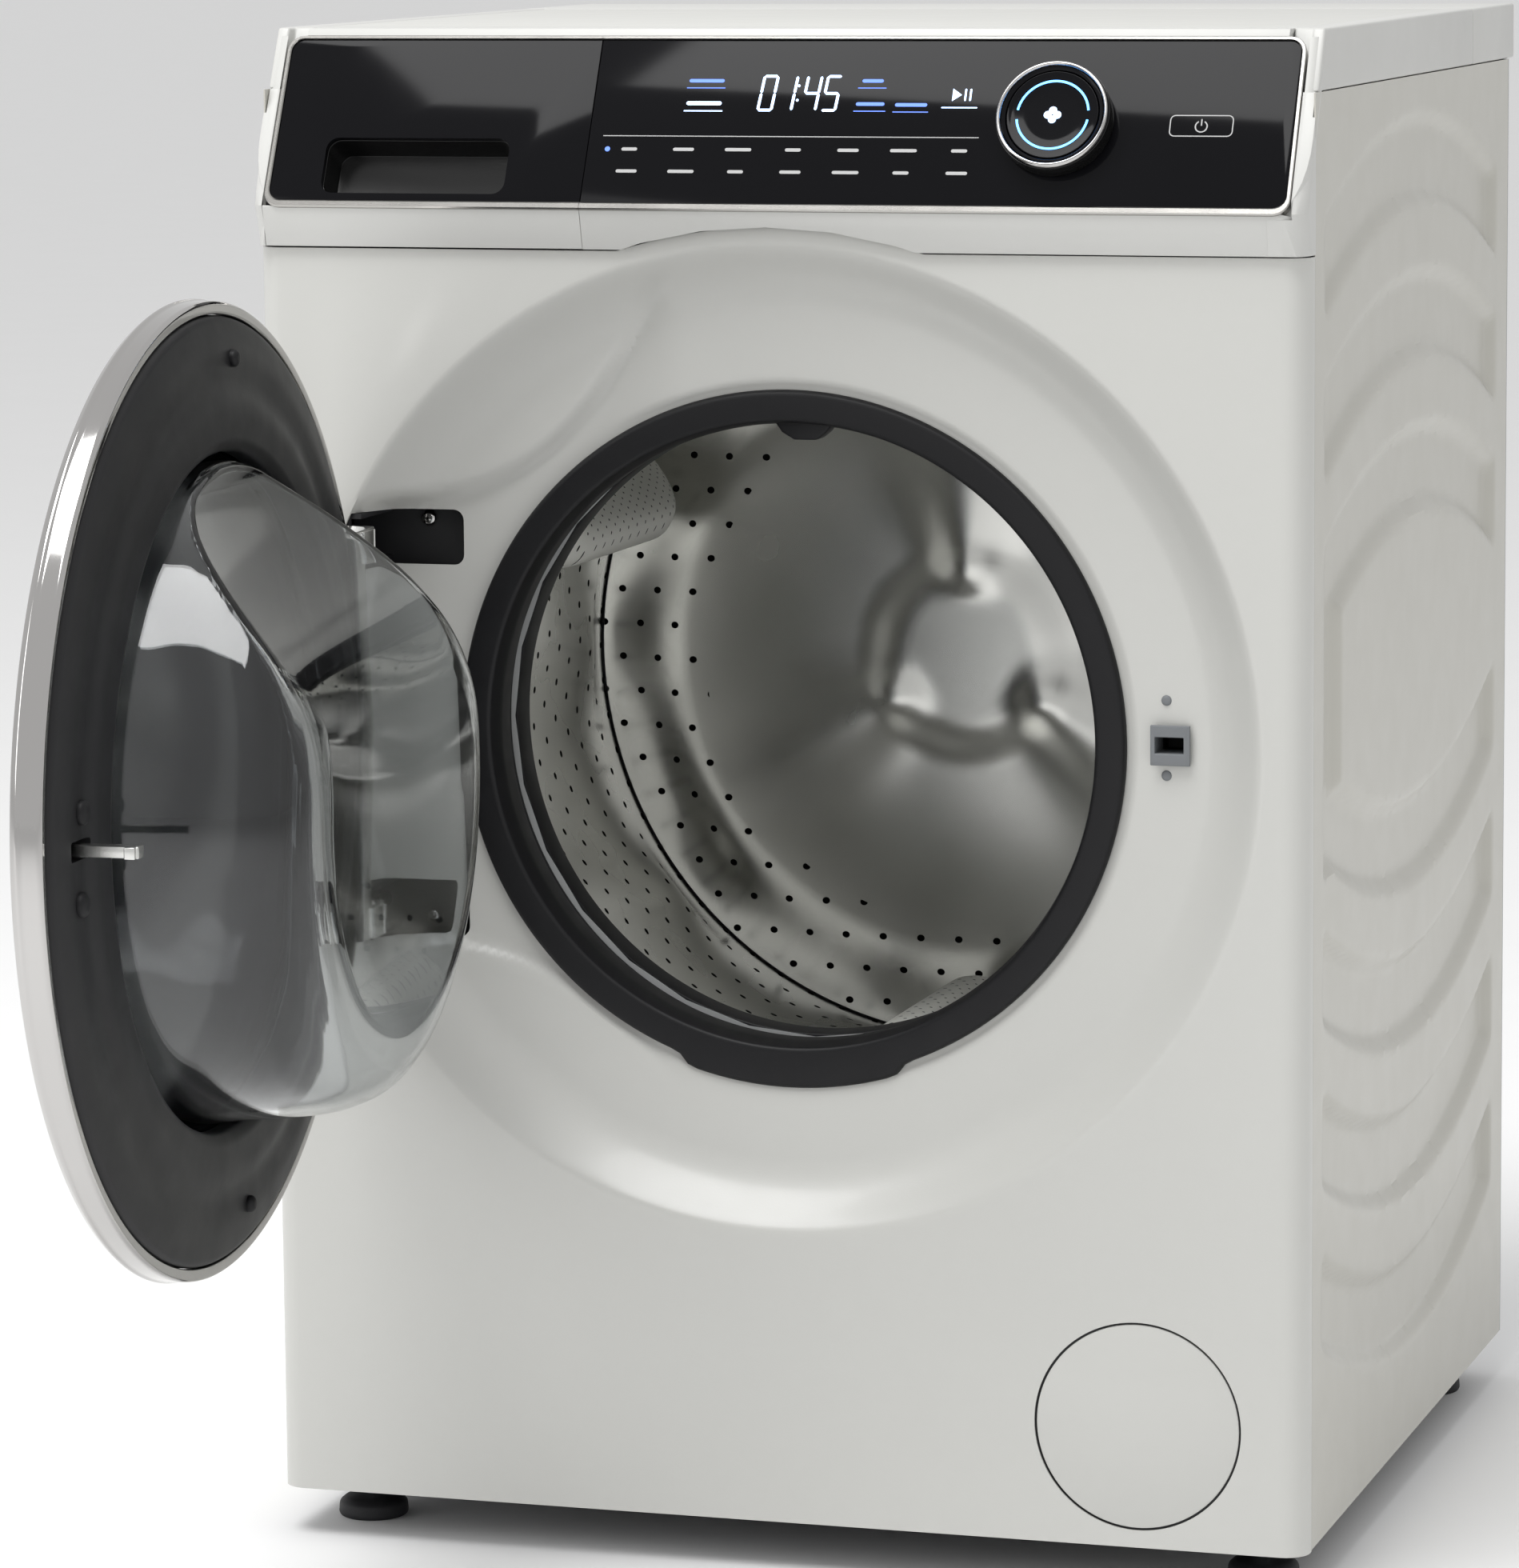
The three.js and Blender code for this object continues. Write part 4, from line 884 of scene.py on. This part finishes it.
def door_inner_frame():
    section = eased([(247.4, 0.9), (247.4, 14), (228, 18.4), (212, 18.2), (200, 22), (182, 22.4), (177, 19),
                     (177, 6.2), (191, 6.2), (191, 0.9)], 5, 6, closed=True)
    ring = piece("door_inner_frame_skin", turned(section, 240), "door", DOOR_PLASTIC, place=DOOR)
    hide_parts("door_inner_frame")
    hook_slot = rounded_rect(HOOK.x - 11, HOOK.z - 5, HOOK.x + 11, HOOK.z + 5, 1.5)
    cut_with(ring, [cutter(prism(hook_slot, 7.5, 30, "xzy"), DOOR)])
    stops = [(-24, 687, 18.0, 4.6), (-23, 240, 18.0, 4.6),
             (214, AXIS + 21, 18.2, 6.4), (217, AXIS - 24, 18.2, 6.4)]
    for i, (x, z, seat, r) in enumerate(stops):
        dome = eased([(r, seat - 1), (r, seat + 2.4), (r * 0.6, seat + 4.2), (0.001, seat + 4.4)], 1.6, 4)
        piece("door_stop_%d" % (i + 1), turned(dome, 40, x, z), "door", RUBBER, place=DOOR)


# The bowl's wall before its top is cut, as (radius, y) from the frame to the flat end.
BOWL_WALL = [(189, 3.2), (176.5, 3.6), (173.5, 8), (172, 20), (169.5, 36), (167.5, 62),
             (163.5, 86), (155, 104), (141, 114), (126, 117)]


def scoop_depth(z):
    """Depth of the oblique cut across the top of the bowl, shallow at the top edge."""
    drop = max(0.0, AXIS + 160 - z)
    return 24 + 112 * (1 - math.exp(-(drop / 92) ** 1.45))


def soft_minimum(first, second, softness):
    gap = max(0.0, softness - abs(first - second)) / softness
    return min(first, second) - gap * gap * softness / 4


def door_bowl():
    wall = eased(BOWL_WALL, 9, 5)
    rim_r, rim_y = BOWL_WALL[-1]
    flat = [(rim_r * (1 - i / 26) + 0.01, rim_y + 0.6 * math.sin(i / 26 * math.pi / 2))
            for i in range(1, 27)]
    profile = wall + flat
    steps = 200

    def point(i, j):
        r, y = profile[i]
        angle = 2 * math.pi * j / steps
        x, z = r * math.cos(angle), AXIS + r * math.sin(angle)
        cut_y = scoop_depth(z) + 0.0006 * x * x
        return (x, y if y < 20 else max(20.0, soft_minimum(y, cut_y, 15)), z)

    bowl = piece("door_bowl_skin", grid(len(profile), steps, point, wrap=True), "door", BOWL_GLASS,
                 place=DOOR, wall=4.0, sharp=70)
    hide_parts("door_bowl")


def door_hardware():
    refined("door_hinge_arm", "door", BRIGHT_STEEL, 0.5)
    refined("door_hook", "door_hook", BRIGHT_STEEL, 0.6)
    refined("door_hinge_bracket", "cabinet", DARK_PLASTIC, 0.4)
    refined("door_lock_bezel", "cabinet", GREY_PLASTIC, 0.5)
    for i, z in enumerate((AXIS + 27, AXIS - 14)):
        depth = front_depth(214, z)
        dome = eased([(2.9, depth + 0.6), (2.9, depth - 0.5), (1.8, depth - 1.2),
                      (0.001, depth - 1.3)], 0.6, 3)
        piece("latch_screw_cap_%d" % (i + 1), turned(dome, 32, 214, z), "cabinet", GREY_PLASTIC)
    for i, side in enumerate((1, -1)):
        z = AXIS + side * HINGE_OFFSET + side * 9
        head = eased([(4.6, 51), (4.6, 48.6), (3.2, 47.2), (0.001, 46.8)], 1.0, 4)
        piece("hinge_screw_%d" % (i + 1), turned(head, 36, -216, z), "cabinet", CHROME)
        # The cross slots are near-black marks on the heads: painted shade in the slots.
        cross = merged([prism(rounded_rect(-216 - w, z - h, -216 + w, z + h, 0.3, 2), 46.6, 47.2, "xzy")
                        for w, h in ((2.4, 0.45), (0.45, 2.4))])
        piece("hinge_screw_slot_%d" % (i + 1), cross, "cabinet", BLACK_AND_PAINTED_SHADE)


# ------------------------------------------------------------------ gasket and drum
def gasket():
    """Bellows from the panel's opening to the tub, with a fold and the drain bulge at the bottom."""
    section = eased([(174, 27), (190, 26.5), (191.4, 31.6), (187.8, 32.5), (187.8, 37), (192.6, 38),
                     (180, 40), (178, 56), (188, 62), (188, 86), (182, 86), (181.7, 75), (176.4, 73),
                     (184, 69), (183, 64), (172.5, 58), (171.5, 40)], 2.4, 3, closed=True)
    steps = 200

    def point(i, j):
        r, y = section[i]
        angle = 2 * math.pi * j / steps
        lower = smoothstep(0.36, 0.30, abs(angle - 1.5 * math.pi))
        bulge = 5.5 * lower if r > 186 and y < 33 else 0.0
        drop = r + bulge
        return (drop * math.cos(angle), y, AXIS + drop * math.sin(angle))

    sleeve = piece("door_gasket_skin", grid(len(section), steps, point, wrap=True), None, RUBBER,
                   sharp=50, ride=False)
    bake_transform(sleeve)
    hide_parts("door_gasket")
    nozzle = prism([(-12, AXIS + 177), (28, AXIS + 177), (20, AXIS + 167), (15, AXIS + 163), (2, AXIS + 163),
                    (-5, AXIS + 167)], 36, 50, "xzy")
    piece("gasket_nozzle", nozzle, "cabinet", RUBBER, bevel=1.5)
    tub_lip = eased([(174.4, 75.4), (181.6, 75.4), (181.6, 96), (174.4, 96)], 1.2, 3, closed=True)
    piece("tub_neck_lip", turned(tub_lip, 200), "tub", RUBBER)


DRUM_BACK = 408


def suspension_spring(node):
    """The CAD spring again, stretching between the cabinet rail and the tub's ear."""
    tools = bmesh.new()
    tools.from_mesh(frame["nodes"][node].data)
    bmesh.ops.transform(tools, matrix=CABINET.inverted(), verts=tools.verts)
    spring = piece(node + "_skin", tools, None, BRIGHT_STEEL, ride=False)
    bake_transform(spring)
    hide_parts(node)


def drum_shell():
    """Steel drum: rolled lip, coned front and long soft pressings between the lifters."""
    steps = 360
    outline = eased([(183, 104), (182, 100.5), (186, 99.6), (232, 104), (DRUM_R, 112)], 3, 5)
    depth_rows = 44
    rows = outline + [(DRUM_R, 112 + (DRUM_BACK - 112) * (i + 1) / depth_rows) for i in range(depth_rows)]

    def point(i, j):
        r, y = rows[i]
        angle = 2 * math.pi * j / steps
        window = smoothstep(125, 165, y) * smoothstep(398, 370, y)
        fold = 0.5 - 0.5 * math.cos(9 * angle + 0.6 * math.sin((y - 110) / 90))
        r -= 6.5 * window * fold * fold
        return (r * math.cos(angle), y, AXIS + r * math.sin(angle))

    shell = piece("drum_shell_skin", grid(len(rows), steps, point, wrap=True), "drum", DRUM_STEEL,
                  wall=-0.8, sharp=60)
    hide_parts("drum_shell")
    lip = eased([(179.6, 100.5), (181, 98.4), (185, 99.4), (183, 104)], 1, 5, closed=True)
    piece("drum_lip", turned(lip, 200), "drum", BRIGHT_STEEL)


def drum_back():
    """Rear disc pressed with three broad arms and a shallow ring."""
    steps, rings = 240, 48

    def point(i, j):
        r = (DRUM_R - DRUM_INSET) * max(i, 0.01) / rings
        angle = 2 * math.pi * j / steps
        spread = (0.5 + 0.5 * math.cos(3 * (angle - math.pi / 2))) ** 4
        arms = spread * smoothstep(30, 60, r) * smoothstep(215, 180, r)
        y = DRUM_BACK - 8 - 7 * arms - 4 * smoothstep(70, 40, r) + 8 * smoothstep(180, 228, r)
        return (r * math.cos(angle), y, AXIS + r * math.sin(angle))

    disc = piece("drum_back_skin", grid(rings + 1, steps, point, wrap=True), "drum", DISC_STEEL, sharp=60)
    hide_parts("drum_back")


def drum_lifter(number):
    """Hollow paddle with a rounded back and tapering ends."""
    node = "drum_lifter_%d" % number
    low, high = cabinet_box(node)
    middle = (low + high) / 2
    angle = math.atan2(middle.z - AXIS, middle.x)
    out = Vector((math.cos(angle), 0, math.sin(angle)))
    across = Vector((-math.sin(angle), 0, math.cos(angle)))
    rows, columns = 40, 25
    seat, height, half_width = DRUM_R - DRUM_INSET, 50, 30

    def point(i, j):
        along = i / (rows - 1)
        share = 2 * j / (columns - 1) - 1
        rise = math.sin(math.pi * min(1.0, along * 4) / 2) ** 0.6
        fall = math.sin(math.pi * min(1.0, (1 - along) * 4) / 2) ** 0.6
        taper = rise * fall
        width = half_width * (0.62 + 0.38 * taper)
        lift = height * taper * max(0.0, 1 - abs(share) ** 2.6) ** 0.9
        place = out * (seat - lift) + across * (share * width)
        return (place.x, low.y + (high.y - low.y) * along, AXIS + place.z)

    # The lifter wears the brightened plastic: painted light against the dark drum.
    lifter = piece(node + "_skin", grid(rows, columns, point), "drum", BRIGHTENED_LIFTER_PLASTIC,
                   wall=-1.5, sharp=60)
    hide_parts(node)


# ------------------------------------------------------------------ feet and the plain CAD pieces
def foot(node, body):
    """Rubber pad and threaded stud, drawn over one levelling foot."""
    low, high = cabinet_box(node)
    middle = (low + high) / 2
    pad = eased([(0.001, 0.1), (19, 0.1), (20, 2), (19.5, 8), (16, 11), (7, 13), (0.001, 13)], 1.5, 3)
    thing = piece(node + "_pad", upright(pad, middle.x, middle.y), body, PAD_RUBBER)
    thread = [(5.9 - 0.5 * (i % 2), 12.5 + 0.75 * i) for i in range(62)]
    turned_stud = upright(thread + [(0.001, thread[-1][1])], middle.x, middle.y)
    stud = piece(node + "_stud", turned_stud, body, GALVANISED)
    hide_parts(node)
    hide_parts(node)


# CAD nodes drawn again with eased edges: node, material and bevel width.
REFINED = [
    ("console_housing", WHITE_PLASTIC, 0.4),
    ("worktop_frame", WHITE_PLASTIC, 1.6),
    ("worktop_rear_trim", WHITE_PLASTIC, 1.6),
    ("worktop_board", TOP_BOARD, 0.6),
    ("base_tray", DARK_PLASTIC, 0.6),
]

# CAD nodes kept as they are, under the material that each one wears.
CARRIED_OVER = {
    GALVANISED: ["rear_panel", "rear_service_cover", "motor_rotor", "damper_cylinder_left",
                 "damper_cylinder_right"],
    DARK_PLASTIC: ["door_lock", "drain_pump", "inlet_valve", "mains_cable_gland"],
    WHITE_PLASTIC: ["dispenser_housing", "drawer_tray", "filter_cap"],
    TUB_PLASTIC: ["tub_front", "tub_rear"],
    CONCRETE: ["counterweight_upper", "counterweight_lower"],
    COPPER: ["motor_stator"],
    CAST_METAL: ["drum_spider"],
    BOARD_GREEN: ["control_board"],
    BRIGHT_STEEL: ["drum_shaft", "drum_bearing", "water_heater", "damper_rod_left", "damper_rod_right"],
}


def cad_finishes():
    for material, nodes in CARRIED_OVER.items():
        for node in nodes:
            thing = frame["nodes"][node]
            thing.data.materials.clear()
            thing.data.materials.append(material)
            for face in thing.data.polygons:
                face.material_index = 0
    for node, material, bevel in REFINED:
        refined(node, "cabinet", material, bevel)


# ------------------------------------------------------------------ camera, light and floor
CAMERA_AT = (1.0289, -3.3211, 0.9449)
CAMERA_YAW = 0.297
CAMERA_PITCH = 0.138
CAMERA_ROLL = -0.008
LENS = 146.3
SHIFT = (-0.0354, -0.0305)


def camera():
    data = bpy.data.cameras.new("camera")
    data.lens = LENS
    data.sensor_width = 36
    data.sensor_fit = "AUTO"
    data.shift_x, data.shift_y = SHIFT
    data.clip_end = 200
    eye = bpy.data.objects.new("camera", data)
    bpy.context.scene.collection.objects.link(eye)
    turn = Matrix.Rotation(CAMERA_YAW, 4, "Z")
    tilt = Matrix.Rotation(math.pi / 2 - CAMERA_PITCH, 4, "X")
    roll = Matrix.Rotation(CAMERA_ROLL, 4, "Z")
    eye.matrix_world = Matrix.Translation(CAMERA_AT) @ turn @ tilt @ roll
    bpy.context.scene.camera = eye


def soft_light(name, place, aim, size, power, color=(1, 1, 1)):
    data = bpy.data.lights.new(name, "AREA")
    data.shape = "RECTANGLE"
    data.size, data.size_y = size
    data.energy = power
    data.color = color
    lamp = bpy.data.objects.new(name, data)
    bpy.context.scene.collection.objects.link(lamp)
    lamp.location = place
    lamp.rotation_euler = (Vector(aim) - Vector(place)).to_track_quat("-Z", "Y").to_euler()


def studio():
    world = bpy.data.worlds.new("studio")
    world.use_nodes = True
    background = world.node_tree.nodes["Background"]
    background.inputs["Color"].default_value = (1.0, 1.0, 1.0, 1.0)
    background.inputs["Strength"].default_value = 0.7
    bpy.context.scene.world = world
    bpy.context.scene.view_settings.view_transform = "Standard"
    soft_light("overhead", (-0.6, -1.4, 4.2), (0, -0.1, 0.4), (2.6, 2.0), 120)
    soft_light("left_window", (-4.2, -3.6, 2.4), (-0.1, 0, 0.5), (3.0, 3.0), 60)
    tools = bmesh.new()
    corners = [tools.verts.new(corner) for corner in ((-60, -60, 0), (60, -60, 0), (60, 60, 0), (-60, 60, 0))]
    tools.faces.new(corners)
    floor = piece("floor", tools, None, FLOOR_PAINT, place=Matrix.Identity(4), ride=False)


# ------------------------------------------------------------------ build
camera()
studio()
cad_finishes()
front_panel()
filter_flap()
side_panel(-1, "side_panel_left")
side_panel(1, "side_panel_right")
console_end(-1, "console_end_left")
console_end(1, "console_end_right")
fascia()
fascia_marks()
knob()
door_rings()
door_inner_frame()
door_bowl()
door_hardware()
gasket()
suspension_spring("suspension_spring_left")
suspension_spring("suspension_spring_right")
drum_shell()
drum_back()
for lifter_number in (1, 2, 3):
    drum_lifter(lifter_number)
for end in ("front", "rear"):
    for hand in ("left", "right"):
        foot("levelling_foot_%s_%s" % (end, hand), "foot_%s_%s" % (end, hand))
